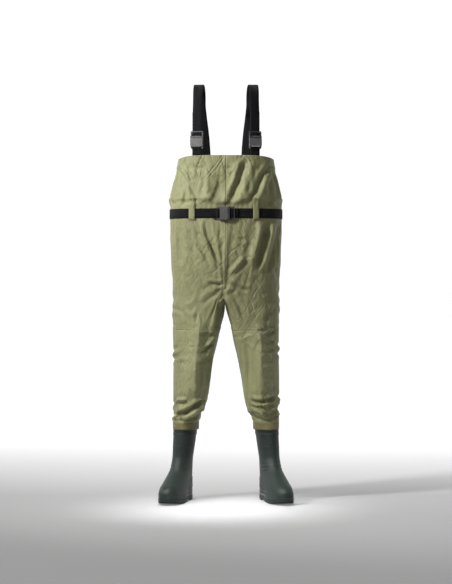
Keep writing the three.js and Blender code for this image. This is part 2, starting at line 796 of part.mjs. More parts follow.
addPiece('belt_webbing', beltWebbing(), blackWebbing);
addBuckle({
  socket: 'belt_buckle_socket',
  clip: 'belt_buckle_clip',
  prongs: ['belt_buckle_prong_lower', 'belt_buckle_prong_upper'],
}, beltFrame);
addPair('belt_loop_front', beltLoop(strapFacet, -8), olive);
addPair('belt_loop_back', beltLoop(waist.length - strapFacet - 2, 8), olive);

// ---------------------------------------------------------------- the soles stand centred on the origin

const extent = new THREE.Box3().setFromObject(model, true);
model.position.set(0, -(extent.min.y + extent.max.y) / 2, -extent.min.z);
model.updateMatrixWorld(true);

export default model;
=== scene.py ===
import json
import math

import bmesh
import bpy
import numpy as np
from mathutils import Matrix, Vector
from mathutils.bvhtree import BVHTree


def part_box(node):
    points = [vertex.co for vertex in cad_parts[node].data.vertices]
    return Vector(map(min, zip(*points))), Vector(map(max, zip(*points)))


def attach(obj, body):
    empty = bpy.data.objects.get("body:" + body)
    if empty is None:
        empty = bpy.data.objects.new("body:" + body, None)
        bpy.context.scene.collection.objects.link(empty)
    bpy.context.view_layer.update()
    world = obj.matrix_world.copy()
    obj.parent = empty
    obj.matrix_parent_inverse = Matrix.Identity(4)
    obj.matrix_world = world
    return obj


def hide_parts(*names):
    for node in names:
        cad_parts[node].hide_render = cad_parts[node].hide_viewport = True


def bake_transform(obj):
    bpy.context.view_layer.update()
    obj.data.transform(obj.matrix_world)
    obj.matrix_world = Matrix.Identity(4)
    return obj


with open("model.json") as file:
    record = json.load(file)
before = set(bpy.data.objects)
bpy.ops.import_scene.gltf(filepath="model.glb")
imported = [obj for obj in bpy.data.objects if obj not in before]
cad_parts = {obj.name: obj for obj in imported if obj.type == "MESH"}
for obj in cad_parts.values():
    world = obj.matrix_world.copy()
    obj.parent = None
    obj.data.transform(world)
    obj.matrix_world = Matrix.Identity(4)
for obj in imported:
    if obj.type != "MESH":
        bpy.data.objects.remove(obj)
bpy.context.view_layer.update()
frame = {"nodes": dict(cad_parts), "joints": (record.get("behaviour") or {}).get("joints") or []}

# ---------------------------------------------------------------- places taken from the frame

SIDES = {"left": 1, "right": -1}

panel_low, panel_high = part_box("body_panel_left")
cuff_low, cuff_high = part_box("ankle_cuff_left")
boot_low, boot_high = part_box("boot_upper_left")
belt_low, belt_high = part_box("belt_webbing")

BIB_TOP = panel_high[2]
CROTCH = panel_low[2]
BELT = (belt_low[2] + belt_high[2]) / 2
MIDDLE = (panel_low[1] + panel_high[1]) / 2  # the body's middle, front to back
KNEE_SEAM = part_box("thigh_panel_left")[1][2]
CUFF_TOP = cuff_high[2]
CUFF_BOTTOM = cuff_low[2]
BOOT_TOP = boot_high[2]

HEM = 0.048  # depth of the folded hem at the bib's top
FABRIC = 0.0008  # thickness of the cloth
WEBBING_WIDTH = belt_high[2] - belt_low[2]
WEBBING = 0.0021  # thickness of the webbing

# ---------------------------------------------------------------- camera and lights


def look_from(place, target, lens):
    camera = bpy.data.objects.new("camera", bpy.data.cameras.new("camera"))
    bpy.context.collection.objects.link(camera)
    camera.location = place
    camera.rotation_euler = (Vector(target) - Vector(place)).to_track_quat("-Z", "Y").to_euler()
    camera.data.sensor_fit = "VERTICAL"
    camera.data.sensor_height = 24
    camera.data.lens = lens
    bpy.context.scene.camera = camera


def softbox(name, place, target, size, power, spread=180):
    """A square light turned to a target. spread is its beam in degrees."""
    light = bpy.data.objects.new(name, bpy.data.lights.new(name, "AREA"))
    bpy.context.collection.objects.link(light)
    light.location = place
    light.rotation_euler = (Vector(target) - Vector(place)).to_track_quat("-Z", "Y").to_euler()
    light.data.size = size
    light.data.energy = power
    light.data.spread = math.radians(spread)


look_from(place=(0, -7.5, 0.86), target=(0, 0, 0.832), lens=77.5)
softbox("key_light", (-2.6, -1.9, 2.9), (0, 0, 1.62), size=0.5, power=39, spread=72)
softbox("fill_light", (-0.8, -5.0, 2.8), (0, 0, 1.2), size=1.2, power=1)
softbox("low_light", (-0.4, -1.3, 2.4), (0, -0.2, -0.1), size=0.4, power=2.2, spread=22)
softbox("rim_light", (-2.4, 1.6, 2.4), (0, 0, 1.1), size=1.0, power=8)

world = bpy.data.worlds.new("studio")
bpy.context.scene.world = world
world.use_nodes = True
world.node_tree.nodes["Background"].inputs["Color"].default_value = (1, 1, 1, 1)
world.node_tree.nodes["Background"].inputs["Strength"].default_value = 0.04
bpy.context.scene.view_settings.view_transform = "Standard"

# ---------------------------------------------------------------- finishes


class Value:
    """A socket that takes part in sums written as Python expressions."""

    def __init__(self, paint, socket):
        self.paint = paint
        self.socket = socket

    def _sum(self, operation, first, second):
        node = self.paint.node("ShaderNodeMath", {"operation": operation}, {0: first, 1: second})
        return Value(self.paint, node.outputs[0])

    def __add__(self, other):
        return self._sum("ADD", self, other)

    def __radd__(self, other):
        return self._sum("ADD", other, self)

    def __sub__(self, other):
        return self._sum("SUBTRACT", self, other)

    def __rsub__(self, other):
        return self._sum("SUBTRACT", other, self)

    def __mul__(self, other):
        return self._sum("MULTIPLY", self, other)

    def __rmul__(self, other):
        return self._sum("MULTIPLY", other, self)

    def __abs__(self):
        return self._sum("ABSOLUTE", self, 0.0)

    def sine(self):
        return self._sum("SINE", self, 0.0)

    def ramp(self, low, high):
        """0 at low, 1 at high, and no less or more outside them."""
        sockets = {"Value": self, "From Min": low, "From Max": high}
        return Value(self.paint, self.paint.node("ShaderNodeMapRange", {"clamp": True}, sockets).outputs["Result"])


class Paint:
    """A material, and the nodes added to it."""

    def __init__(self, name, colour, roughness, uniform=None):
        self.material = bpy.data.materials.new(name)
        self.material.use_nodes = True
        self.tree = self.material.node_tree
        self.shader = self.tree.nodes["Principled BSDF"]
        self.shader.inputs["Base Color"].default_value = (*colour, 1)
        self.shader.inputs["Roughness"].default_value = roughness
        for socket, value in (uniform or {}).items():
            self.shader.inputs[socket].default_value = value
        place = self.node("ShaderNodeTexCoord").outputs["Object"]
        self.place = place
        split = self.node("ShaderNodeSeparateXYZ", {}, {0: place})
        self.x, self.y, self.z = (Value(self, split.outputs[axis]) for axis in range(3))

    def node(self, kind, settings=None, sockets=None):
        """Any node: its settings first, then a value or a link for each socket."""
        node = self.tree.nodes.new(kind)
        for setting, value in (settings or {}).items():
            setattr(node, setting, value)
        for socket, value in (sockets or {}).items():
            value = value.socket if isinstance(value, Value) else value
            if isinstance(value, bpy.types.NodeSocket):
                self.tree.links.new(value, node.inputs[socket])
            else:
                node.inputs[socket].default_value = value
        return node

    def grain(self, scale, detail=2.0, stretch=(1, 1, 1), turn=(0, 0, 0)):
        """Noise about one half, turned first and then stretched along the axes."""
        turned = self.node("ShaderNodeMapping", {}, {"Vector": self.place, "Rotation": turn}).outputs[0]
        mapped = self.node("ShaderNodeMapping", {}, {"Vector": turned, "Scale": stretch})
        sockets = {"Vector": mapped.outputs[0], "Scale": scale, "Detail": detail}
        return Value(self, self.node("ShaderNodeTexNoise", {}, sockets).outputs["Fac"])

    def blend(self, factor, first, second):
        """A colour between two, by a factor from 0 to 1."""
        colour_a, colour_b, colour_out = 6, 7, 2  # the Mix node's colour sockets
        sockets = {0: factor, colour_a: first, colour_b: second}
        return self.node("ShaderNodeMix", {"data_type": "RGBA"}, sockets).outputs[colour_out]

    def feed(self, socket, value):
        value = value.socket if isinstance(value, Value) else value
        self.tree.links.new(value, self.shader.inputs[socket])

    def relief(self, height, distance, strength=1.0):
        sockets = {"Height": height, "Distance": distance, "Strength": strength}
        self.feed("Normal", self.node("ShaderNodeBump", {}, sockets).outputs["Normal"])


def shade(colour, factor):
    """The colour made lighter or darker, as a socket takes it."""
    return (colour[0] * factor, colour[1] * factor, colour[2] * factor, 1)


def coated_fabric(name, colour, roughness=0.58, crinkle=1.0):
    """Close plain-weave nylon with a dull coat: weave, faint slubs, and the small sharp creases of stiff cloth, with
    painted shade that darkens the colour along the creases.
    """
    paint = Paint(name, colour, roughness, {"Sheen Weight": 0.06, "Sheen Roughness": 0.5, "Specular IOR Level": 0.4})
    weave = (paint.x * 5200 + paint.y * 5200).sine() * (paint.z * 5200).sine()
    slub = paint.grain(260, 3, (1, 1, 0.25))
    cloudy = paint.grain(5, 3)
    broad = abs(paint.grain(9, 2.5, (1, 1, 0.55)) - 0.5).ramp(0.0, 0.07)
    small = abs(paint.grain(27, 3, (1, 1, 0.7)) - 0.5).ramp(0.0, 0.09)
    slanted = 0.0
    for turn in (0.45, -0.6):
        line = abs(paint.grain(13, 1.5, (1.6, 1.6, 0.3), (0, turn, 0)) - 0.5).ramp(0.0, 0.03)
        slanted = line + slanted
    patchy = paint.grain(3.5, 1).ramp(0.42, 0.58)
    # broad and small are 0 along thin crease lines, so in the tone they darken the colour there: painted shade in the
    # creases
    tone = (cloudy * 0.5 + slub * 0.3 + broad * 0.12 + small * 0.12).ramp(0.3, 0.75)
    paint.feed("Base Color", paint.blend(tone, shade(colour, 0.86), shade(colour, 1.12)))
    paint.feed("Roughness", roughness - 0.06 + 0.12 * cloudy)
    creases = broad * (1.3 * crinkle) + small * (0.9 * crinkle) + slanted * patchy * (1.8 * crinkle)
    paint.relief(creases + slub * 0.35 + weave * 0.08, 0.001)
    return paint.material


def woven_webbing(name, colour):
    """Ribbed webbing, laid out along the strap: slanting ribs, two denser edges and a lifted nap."""
    paint = Paint(name, colour, 0.7, {"Sheen Weight": 0.02, "Specular IOR Level": 0.12})
    weave = paint.node("ShaderNodeTexCoord").outputs["UV"]
    split = paint.node("ShaderNodeSeparateXYZ", {}, {0: weave})
    across, along = Value(paint, split.outputs[0]), Value(paint, split.outputs[1])
    twill = (along * 2100 + abs(across) * 900).sine()
    selvedge = abs(across).ramp(0.0155, 0.0165)
    fuzz = paint.grain(420, 3)
    tone = (twill * 0.3 + fuzz * 0.9 + selvedge * 0.25).ramp(0.1, 1.1)
    paint.feed("Base Color", paint.blend(tone, shade(colour, 0.6), shade(colour, 2.1)))
    paint.feed("Roughness", 0.62 + 0.2 * fuzz)
    paint.relief(twill * 0.5 + fuzz * 0.5 + selvedge * 0.5, 0.0006)
    return paint.material


def moulded_plastic(name, colour, roughness=0.42):
    """Acetal buckle plastic: fine spark-eroded grain and rubbed patches."""
    paint = Paint(name, colour, roughness)
    wear = paint.grain(45, 4)
    fine = paint.grain(1500, 2)
    paint.feed("Base Color", paint.blend(wear.ramp(0.35, 0.75), shade(colour, 0.9), shade(colour, 1.25)))
    paint.feed("Roughness", roughness - 0.08 + 0.2 * wear)
    paint.relief(fine, 0.00015)
    return paint.material


def boot_rubber(name, colour, roughness):
    """Moulded boot rubber: satin, with faint flow marks and patches of dust."""
    paint = Paint(name, colour, roughness, {"Specular IOR Level": 0.28})
    flow = paint.grain(14, 4, (1, 1, 0.4))
    fine = paint.grain(700, 2)
    dust = paint.grain(30, 5)
    tone = (flow * 0.5 + dust * 0.5).ramp(0.35, 0.7)
    paint.feed("Base Color", paint.blend(tone, shade(colour, 0.85), shade(colour, 1.2)))
    paint.feed("Roughness", roughness - 0.07 + 0.18 * dust)
    paint.relief(fine * 0.25 + flow * 2.0, 0.0006)
    return paint.material


OLIVE = (0.187, 0.187, 0.088)
olive_fabric = coated_fabric("olive_fabric", OLIVE)
cuff_fabric = coated_fabric("cuff_fabric", (0.115, 0.1, 0.038), 0.55, 0.4)
black_webbing = woven_webbing("black_webbing", (0.0035, 0.0035, 0.0045))
socket_plastic = moulded_plastic("socket_plastic", (0.07, 0.067, 0.066))
clip_plastic = moulded_plastic("clip_plastic", (0.022, 0.022, 0.024))
upper_rubber = boot_rubber("upper_rubber", (0.016, 0.0235, 0.020), 0.5)
tread_rubber = boot_rubber("tread_rubber", (0.0125, 0.018, 0.0155), 0.56)
thread_olive = moulded_plastic("thread_olive", (0.085, 0.085, 0.038), 0.6)
tape_fabric = coated_fabric("tape_fabric", (0.09, 0.09, 0.07))
felt = coated_fabric("felt", (0.16, 0.16, 0.15), 0.9)

# ---------------------------------------------------------------- meshes


def mesh_object(name, points, faces, material, smooth=True):
    mesh = bpy.data.meshes.new(name)
    mesh.from_pydata([tuple(point) for point in points], [], [tuple(face) for face in faces])
    if material:
        mesh.materials.append(material)
    mesh.shade_smooth() if smooth else mesh.shade_flat()
    mesh.update()
    piece = bpy.data.objects.new(name, mesh)
    bpy.context.collection.objects.link(piece)
    return piece


def apply_modifiers(piece):
    """Puts the piece's modifiers into its mesh."""
    bpy.context.view_layer.update()
    evaluated = piece.evaluated_get(bpy.context.evaluated_depsgraph_get())
    mesh = bpy.data.meshes.new_from_object(evaluated)
    old = piece.data
    piece.modifiers.clear()
    piece.data = mesh
    bpy.data.meshes.remove(old)
    mesh.name = piece.name
    return piece


def ring_faces(around, rings, first=0):
    """Four-sided faces between neighbouring rings of points."""
    faces = []
    for start in range(first, first + (rings - 1) * around, around):
        above = start + around
        for column in range(around):
            following = (column + 1) % around
            faces.append((start + column, start + following, above + following, above + column))
    return faces


def end_faces(around, rings):
    """The faces that close the first ring and the last."""
    return [tuple(range(around - 1, -1, -1)), tuple(range((rings - 1) * around, rings * around))]


def run_along(line):
    """How far along a line each of its points lies."""
    return np.concatenate([[0], np.cumsum(np.linalg.norm(np.diff(line, axis=0), axis=1))])


def smooth_step(value, low, high):
    share = np.clip((value - low) / (high - low), 0, 1)
    return share * share * (3 - 2 * share)


# ---------------------------------------------------------------- the garment's base shape

# height, half width, half depth and squareness of the body's section
BODY = np.array([
    (CROTCH, 0.212, 0.131, 2.3),
    (CROTCH + 0.075, 0.207, 0.143, 2.35),
    (CROTCH + 0.14, 0.217, 0.148, 2.4),
    (BELT - 0.07, 0.2235, 0.1445, 2.5),
    (BELT, 0.222, 0.141, 2.5),
    (BELT + 0.06, 0.222, 0.142, 2.5),
    (BIB_TOP - 0.11, 0.215, 0.134, 2.7),
    (BIB_TOP - HEM, 0.197, 0.1245, 2.9),
    (BIB_TOP, 0.19, 0.1215, 3.0),
])

# height, centre X, centre Y from the body's middle, half width, half depth and turn of a leg's section
CUFF_TURN = math.radians(17)
LEG = np.array([
    (CUFF_BOTTOM, 0.160, 0.020, 0.0480, 0.0700, CUFF_TURN),
    (CUFF_TOP, 0.160, 0.020, 0.0485, 0.0700, CUFF_TURN),
    (CUFF_TOP + 0.02, 0.156, 0.020, 0.0540, 0.0730, CUFF_TURN * 0.85),
    (0.38, 0.148, 0.013, 0.0650, 0.0780, CUFF_TURN * 0.5),
    (0.44, 0.141, 0.006, 0.0715, 0.0830, CUFF_TURN * 0.2),
    (0.51, 0.133, -0.001, 0.0770, 0.0860, 0),
    (0.58, 0.125, -0.005, 0.0825, 0.0890, 0),
    (0.64, 0.118, -0.004, 0.0890, 0.0940, 0),
    (0.70, 0.113, -0.002, 0.0965, 0.1040, 0),
    (0.77, 0.110, 0.000, 0.1040, 0.1190, 0),
    (CROTCH, 0.107, 0.000, 0.1060, 0.1310, 0),
])

GRID = 0.0085  # spacing of the cloth's rows
HALF_COLUMNS = 72  # columns in half of the body's outline
INNER_COLUMNS = 30  # columns in the wall between the legs
OUTER_SWEEP = math.radians(127)


def between(table, height):
    """The values of a table of sections at a height."""
    return [np.interp(height, table[:, 0], table[:, column]) for column in range(1, table.shape[1])]


def even_half(height):
    """Half of the body's outline, centre front to centre back round the left side, evenly spaced."""
    half_width, half_depth, squareness = between(BODY, height)
    angle = np.linspace(0, math.pi, 721)
    x = half_width * np.abs(np.sin(angle)) ** (2 / squareness)
    y = -half_depth * np.sign(np.cos(angle)) * np.abs(np.cos(angle)) ** (2 / squareness)
    run = run_along(np.stack([x, y], axis=1))
    even = np.linspace(0, run[-1], HALF_COLUMNS + 1)
    return np.interp(even, run, x), np.interp(even, run, y)


def leg_row(height):
    """A leg's outline on the left side: its outer half from front to back, then the inner wall."""
    x, y, half_width, half_depth, turn = between(LEG, height)
    outer = np.linspace(-OUTER_SWEEP, OUTER_SWEEP, HALF_COLUMNS + 1)
    inner = np.linspace(OUTER_SWEEP, 2 * math.pi - OUTER_SWEEP, INNER_COLUMNS + 1)[1:-1]
    angle = np.concatenate([outer, inner])
    across = half_width * np.cos(angle)
    along = half_depth * np.sin(angle)
    oval_x = x + across * math.cos(turn) - along * math.sin(turn)
    oval_y = y + across * math.sin(turn) + along * math.cos(turn)
    crotch_x, crotch_y = even_half(CROTCH)
    wall = np.linspace(crotch_y[-1], crotch_y[0], INNER_COLUMNS + 1)[1:-1]
    top_x = np.concatenate([crotch_x, np.zeros(len(wall))])
    top_y = np.concatenate([crotch_y, wall])
    share = smooth_step(CROTCH - height, 0, 0.10) ** 0.8
    return top_x + (oval_x - top_x) * share, top_y + (oval_y - top_y) * share


def heights_between(*levels):
    """Row heights about one grid step apart that pass exactly through each level."""
    rows = [levels[0]]
    for start, end in zip(levels, levels[1:]):
        steps = max(1, round(abs(end - start) / GRID))
        rows += list(np.linspace(start, end, steps + 1)[1:])
    return rows


PANELS = ["upper_left", "upper_right", "lower_left", "lower_right"]


def garment_grid():
    """Points and faces of the whole garment in one skin, with each face's panel."""
    points = []
    faces = []
    labels = []
    body = []
    for height in heights_between(BIB_TOP, BIB_TOP - HEM, CROTCH):
        x, y = even_half(height)
        ring = [(a, b, height) for a, b in zip(x, y)]
        ring += [(-a, b, height) for a, b in zip(x[-2:0:-1], y[-2:0:-1])]
        body.append(range(len(points), len(points) + len(ring)))
        points += ring
    around = len(body[0])
    for upper, lower in zip(body, body[1:]):
        for column in range(around):
            following = (column + 1) % around
            faces.append((upper[column], lower[column], lower[following], upper[following]))
            labels.append(0 if column < HALF_COLUMNS else 1)
    _, y = even_half(CROTCH)
    wall = np.linspace(y[-1], y[0], INNER_COLUMNS + 1)[1:-1]
    seam = list(range(len(points), len(points) + len(wall)))
    points += [(0, b, CROTCH) for b in wall]
    last = list(body[-1])
    left_top = last[:HALF_COLUMNS + 1] + seam
    right_top = [last[0]] + last[:HALF_COLUMNS - 1:-1] + seam
    leg_heights = heights_between(CROTCH, KNEE_SEAM, CUFF_TOP, CUFF_BOTTOM)
    for sign, upper in ((1, left_top), (-1, right_top)):
        for above, height in zip(leg_heights, leg_heights[1:]):
            x, y = leg_row(height)
            lower = list(range(len(points), len(points) + len(x)))
            points += [(sign * a, b, height) for a, b in zip(x, y)]
            for column in range(len(lower)):
                following = (column + 1) % len(lower)
                face = (upper[column], lower[column], lower[following], upper[following])
                faces.append(face if sign > 0 else face[::-1])
                below_seam = (above + height) / 2 < KNEE_SEAM
                labels.append((0 if sign > 0 else 1) + (2 if below_seam else 0))
            upper = lower
    points = np.array(points)
    points[:, 1] += MIDDLE
    return points, faces, labels


def lift_crotch(points):
    """The centre seam runs under the body: it rises in front and behind of the lowest point."""
    x, y, z = points.T
    lift = 0.040 * ((y - MIDDLE) / 0.131) ** 2 - 0.016
    fading = np.where(z > CROTCH, np.exp(-(z - CROTCH) / 0.09), np.exp((z - CROTCH) / 0.05))
    points[:, 2] += lift * np.exp(-(x / 0.06) ** 2) * fading
    return points


# ---------------------------------------------------------------- folds

# Each fold is a line on the front (or another side) of the garment, as points (across, height), with its
# half width, its rise (a valley is negative) and how sharp its crest is, from 0 to 1.
FRONT_FOLDS = [
    # bib
    ([(-0.192, 1.335), (-0.164, 1.272), (-0.160, 1.173)], 0.010, -0.007, 0.3),
    ([(-0.178, 1.335), (-0.146, 1.262), (-0.140, 1.180)], 0.012, 0.006, 0.2),
    ([(-0.184, 1.319), (-0.113, 1.201)], 0.006, -0.004, 0.5),
    ([(0.085, 1.367), (0.052, 1.270), (0.010, 1.169)], 0.013, -0.008, 0.2),
    ([(0.060, 1.367), (0.027, 1.270), (-0.012, 1.169)], 0.020, 0.005, 0.0),
    ([(0.112, 1.362), (0.082, 1.262), (0.045, 1.170)], 0.018, 0.006, 0.1),
    ([(0.176, 1.343), (0.140, 1.284), (0.117, 1.225), (0.089, 1.181)], 0.010, -0.008, 0.4),
    ([(0.190, 1.325), (0.157, 1.264), (0.135, 1.215), (0.112, 1.175)], 0.010, 0.005, 0.3),
    ([(0.188, 1.355), (0.176, 1.232), (0.172, 1.161)], 0.016, -0.006, 0.1),
    ([(-0.060, 1.350), (-0.072, 1.262), (-0.066, 1.175)], 0.022, 0.003, 0.0),
    ([(-0.018, 1.300), (-0.040, 1.230), (-0.050, 1.170)], 0.012, -0.003, 0.0),
    # below the belt
    ([(-0.085, 1.110), (-0.073, 1.051), (-0.041, 0.980), (-0.018, 0.932)], 0.008, -0.006, 0.4),
    ([(-0.100, 1.110), (-0.090, 1.050), (-0.060, 0.975), (-0.034, 0.925)], 0.012, 0.005, 0.2),
    ([(-0.117, 1.023), (-0.069, 0.960)], 0.008, -0.004, 0.4),
    ([(-0.150, 1.105), (-0.160, 1.020), (-0.150, 0.940)], 0.020, 0.004, 0.0),
    ([(-0.178, 1.105), (-0.186, 1.030), (-0.176, 0.930)], 0.012, -0.004, 0.1),
    ([(0.168, 1.110), (0.146, 1.010), (0.120, 0.920)], 0.014, -0.011, 0.2),
    ([(0.140, 1.110), (0.120, 1.020), (0.098, 0.945)], 0.016, 0.007, 0.2),
    ([(0.190, 1.110), (0.168, 1.010), (0.142, 0.920)], 0.012, 0.006, 0.2),
    ([(0.215, 1.110), (0.190, 1.000), (0.164, 0.905)], 0.014, -0.009, 0.2),
    ([(0.073, 0.972), (0.042, 0.938), (0.014, 0.905)], 0.009, 0.006, 0.4),
    ([(0.087, 0.960), (0.058, 0.924), (0.030, 0.893)], 0.009, -0.005, 0.3),
    ([(0.030, 1.070), (0.060, 1.050), (0.090, 1.058)], 0.006, 0.003, 0.3),
    ([(0.026, 1.048), (0.056, 1.030), (0.088, 1.036)], 0.006, -0.003, 0.3),
    ([(0.190, 0.930), (0.205, 0.905), (0.215, 0.890)], 0.014, -0.007, 0.2),
    ([(-0.061, 0.866), (-0.036, 0.858), (-0.010, 0.862)], 0.006, -0.005, 0.4),
    ([(-0.070, 0.884), (-0.040, 0.874), (-0.012, 0.878)], 0.008, 0.004, 0.2),
    ([(0.010, 0.870), (0.050, 0.846), (0.090, 0.835)], 0.008, -0.004, 0.2),
    ([(0.016, 0.886), (0.056, 0.864), (0.100, 0.852)], 0.009, 0.004, 0.2),
    # thighs
    ([(-0.016, 0.838), (-0.058, 0.812), (-0.090, 0.782)], 0.009, -0.004, 0.3),
    ([(-0.030, 0.850), (-0.085, 0.826), (-0.112, 0.790)], 0.010, 0.003, 0.2),
    ([(0.016, 0.832), (0.052, 0.780), (0.070, 0.715)], 0.009, -0.004, 0.3),
    ([(0.034, 0.836), (0.076, 0.790), (0.096, 0.730)], 0.010, 0.003, 0.2),
    ([(-0.210, 0.770), (-0.170, 0.752), (-0.150, 0.720)], 0.010, -0.004, 0.2),
    ([(0.205, 0.775), (0.168, 0.740), (0.150, 0.715)], 0.010, -0.005, 0.3),
    ([(-0.118, 0.745), (-0.116, 0.715)], 0.006, -0.005, 0.4),
    ([(-0.106, 0.748), (-0.104, 0.715)], 0.006, 0.004, 0.4),
    # wearer's right leg: a long crest down the shin, with slack behind it
    ([(-0.098, 0.735), (-0.106, 0.640), (-0.117, 0.540), (-0.126, 0.390)], 0.042, 0.027, 0.95),
    ([(-0.080, 0.690), (-0.084, 0.600), (-0.094, 0.517), (-0.100, 0.420)], 0.014, -0.006, 0.2),
    ([(-0.099, 0.605), (-0.066, 0.630), (-0.040, 0.661)], 0.007, 0.006, 0.5),
    ([(-0.108, 0.588), (-0.075, 0.608), (-0.046, 0.632)], 0.007, -0.007, 0.4),
    ([(-0.109, 0.562), (-0.080, 0.578), (-0.053, 0.594)], 0.007, 0.006, 0.5),
    ([(-0.112, 0.546), (-0.084, 0.556), (-0.056, 0.570)], 0.006, -0.005, 0.4),
    ([(-0.100, 0.676), (-0.070, 0.680), (-0.045, 0.672)], 0.006, 0.004, 0.3),
    ([(-0.100, 0.662), (-0.072, 0.664), (-0.045, 0.655)], 0.006, -0.004, 0.3),
    ([(-0.100, 0.530), (-0.078, 0.534), (-0.060, 0.540)], 0.005, 0.003, 0.3),
    ([(-0.180, 0.600), (-0.165, 0.585), (-0.145, 0.580)], 0.012, -0.003, 0.1),
    ([(-0.185, 0.560), (-0.160, 0.548), (-0.140, 0.552)], 0.012, -0.003, 0.1),
    # wearer's left leg
    ([(0.128, 0.720), (0.134, 0.620), (0.137, 0.510), (0.138, 0.390)], 0.042, 0.024, 0.9),
    ([(0.118, 0.689), (0.140, 0.694), (0.152, 0.698)], 0.006, 0.005, 0.5),
    ([(0.150, 0.672), (0.172, 0.680), (0.190, 0.688)], 0.006, 0.006, 0.5),
    ([(0.150, 0.660), (0.172, 0.668), (0.192, 0.676)], 0.006, -0.006, 0.4),
    ([(0.146, 0.640), (0.165, 0.644), (0.186, 0.652)], 0.006, 0.005, 0.4),
    ([(0.150, 0.628), (0.170, 0.630), (0.192, 0.640)], 0.006, -0.006, 0.4),
    ([(0.140, 0.606), (0.160, 0.612), (0.186, 0.618)], 0.006, 0.006, 0.5),
    ([(0.150, 0.594), (0.168, 0.598), (0.190, 0.604)], 0.006, -0.007, 0.4),
    ([(0.134, 0.580), (0.156, 0.590), (0.176, 0.578)], 0.006, 0.005, 0.5),
    ([(0.150, 0.560), (0.165, 0.552), (0.184, 0.560)], 0.007, -0.005, 0.3),
    ([(0.148, 0.535), (0.168, 0.540), (0.188, 0.532)], 0.008, 0.004, 0.3),
    ([(0.150, 0.500), (0.166, 0.492), (0.184, 0.500)], 0.009, -0.004, 0.2),
    ([(0.156, 0.470), (0.170, 0.462), (0.186, 0.470)], 0.009, 0.004, 0.2),
    # ankles
    ([(-0.184, 0.343), (-0.160, 0.352), (-0.136, 0.371), (-0.089, 0.411)], 0.008, -0.012, 0.6),
    ([(-0.176, 0.331), (-0.150, 0.340), (-0.124, 0.357), (-0.078, 0.398)], 0.009, 0.009, 0.5),
    ([(-0.190, 0.362), (-0.160, 0.372), (-0.134, 0.392), (-0.100, 0.420)], 0.010, 0.007, 0.2),
    ([(-0.214, 0.366), (-0.194, 0.390), (-0.154, 0.393)], 0.007, -0.007, 0.5),
    ([(-0.210, 0.382), (-0.190, 0.404), (-0.150, 0.408)], 0.008, 0.006, 0.4),
    ([(-0.205, 0.345), (-0.188, 0.364), (-0.160, 0.374)], 0.006, 0.005, 0.4),
    ([(-0.200, 0.328), (-0.185, 0.345), (-0.170, 0.350)], 0.006, -0.005, 0.4),
    ([(-0.150, 0.330), (-0.132, 0.326), (-0.116, 0.340)], 0.007, -0.005, 0.3),
    ([(0.100, 0.405), (0.120, 0.398), (0.142, 0.400), (0.197, 0.413)], 0.008, -0.011, 0.6),
    ([(0.104, 0.420), (0.130, 0.414), (0.160, 0.418), (0.195, 0.430)], 0.010, 0.007, 0.3),
    ([(0.118, 0.388), (0.150, 0.388), (0.190, 0.398)], 0.007, 0.008, 0.4),
    ([(0.100, 0.384), (0.115, 0.376), (0.142, 0.379), (0.160, 0.369)], 0.007, -0.009, 0.6),
    ([(0.112, 0.372), (0.132, 0.357), (0.150, 0.342), (0.170, 0.326)], 0.007, 0.008, 0.6),
    ([(0.150, 0.356), (0.175, 0.362), (0.200, 0.378)], 0.008, 0.006, 0.3),
    ([(0.168, 0.330), (0.190, 0.332), (0.210, 0.342)], 0.007, -0.009, 0.5),
    ([(0.110, 0.345), (0.124, 0.332), (0.140, 0.322)], 0.007, -0.005, 0.4),
]

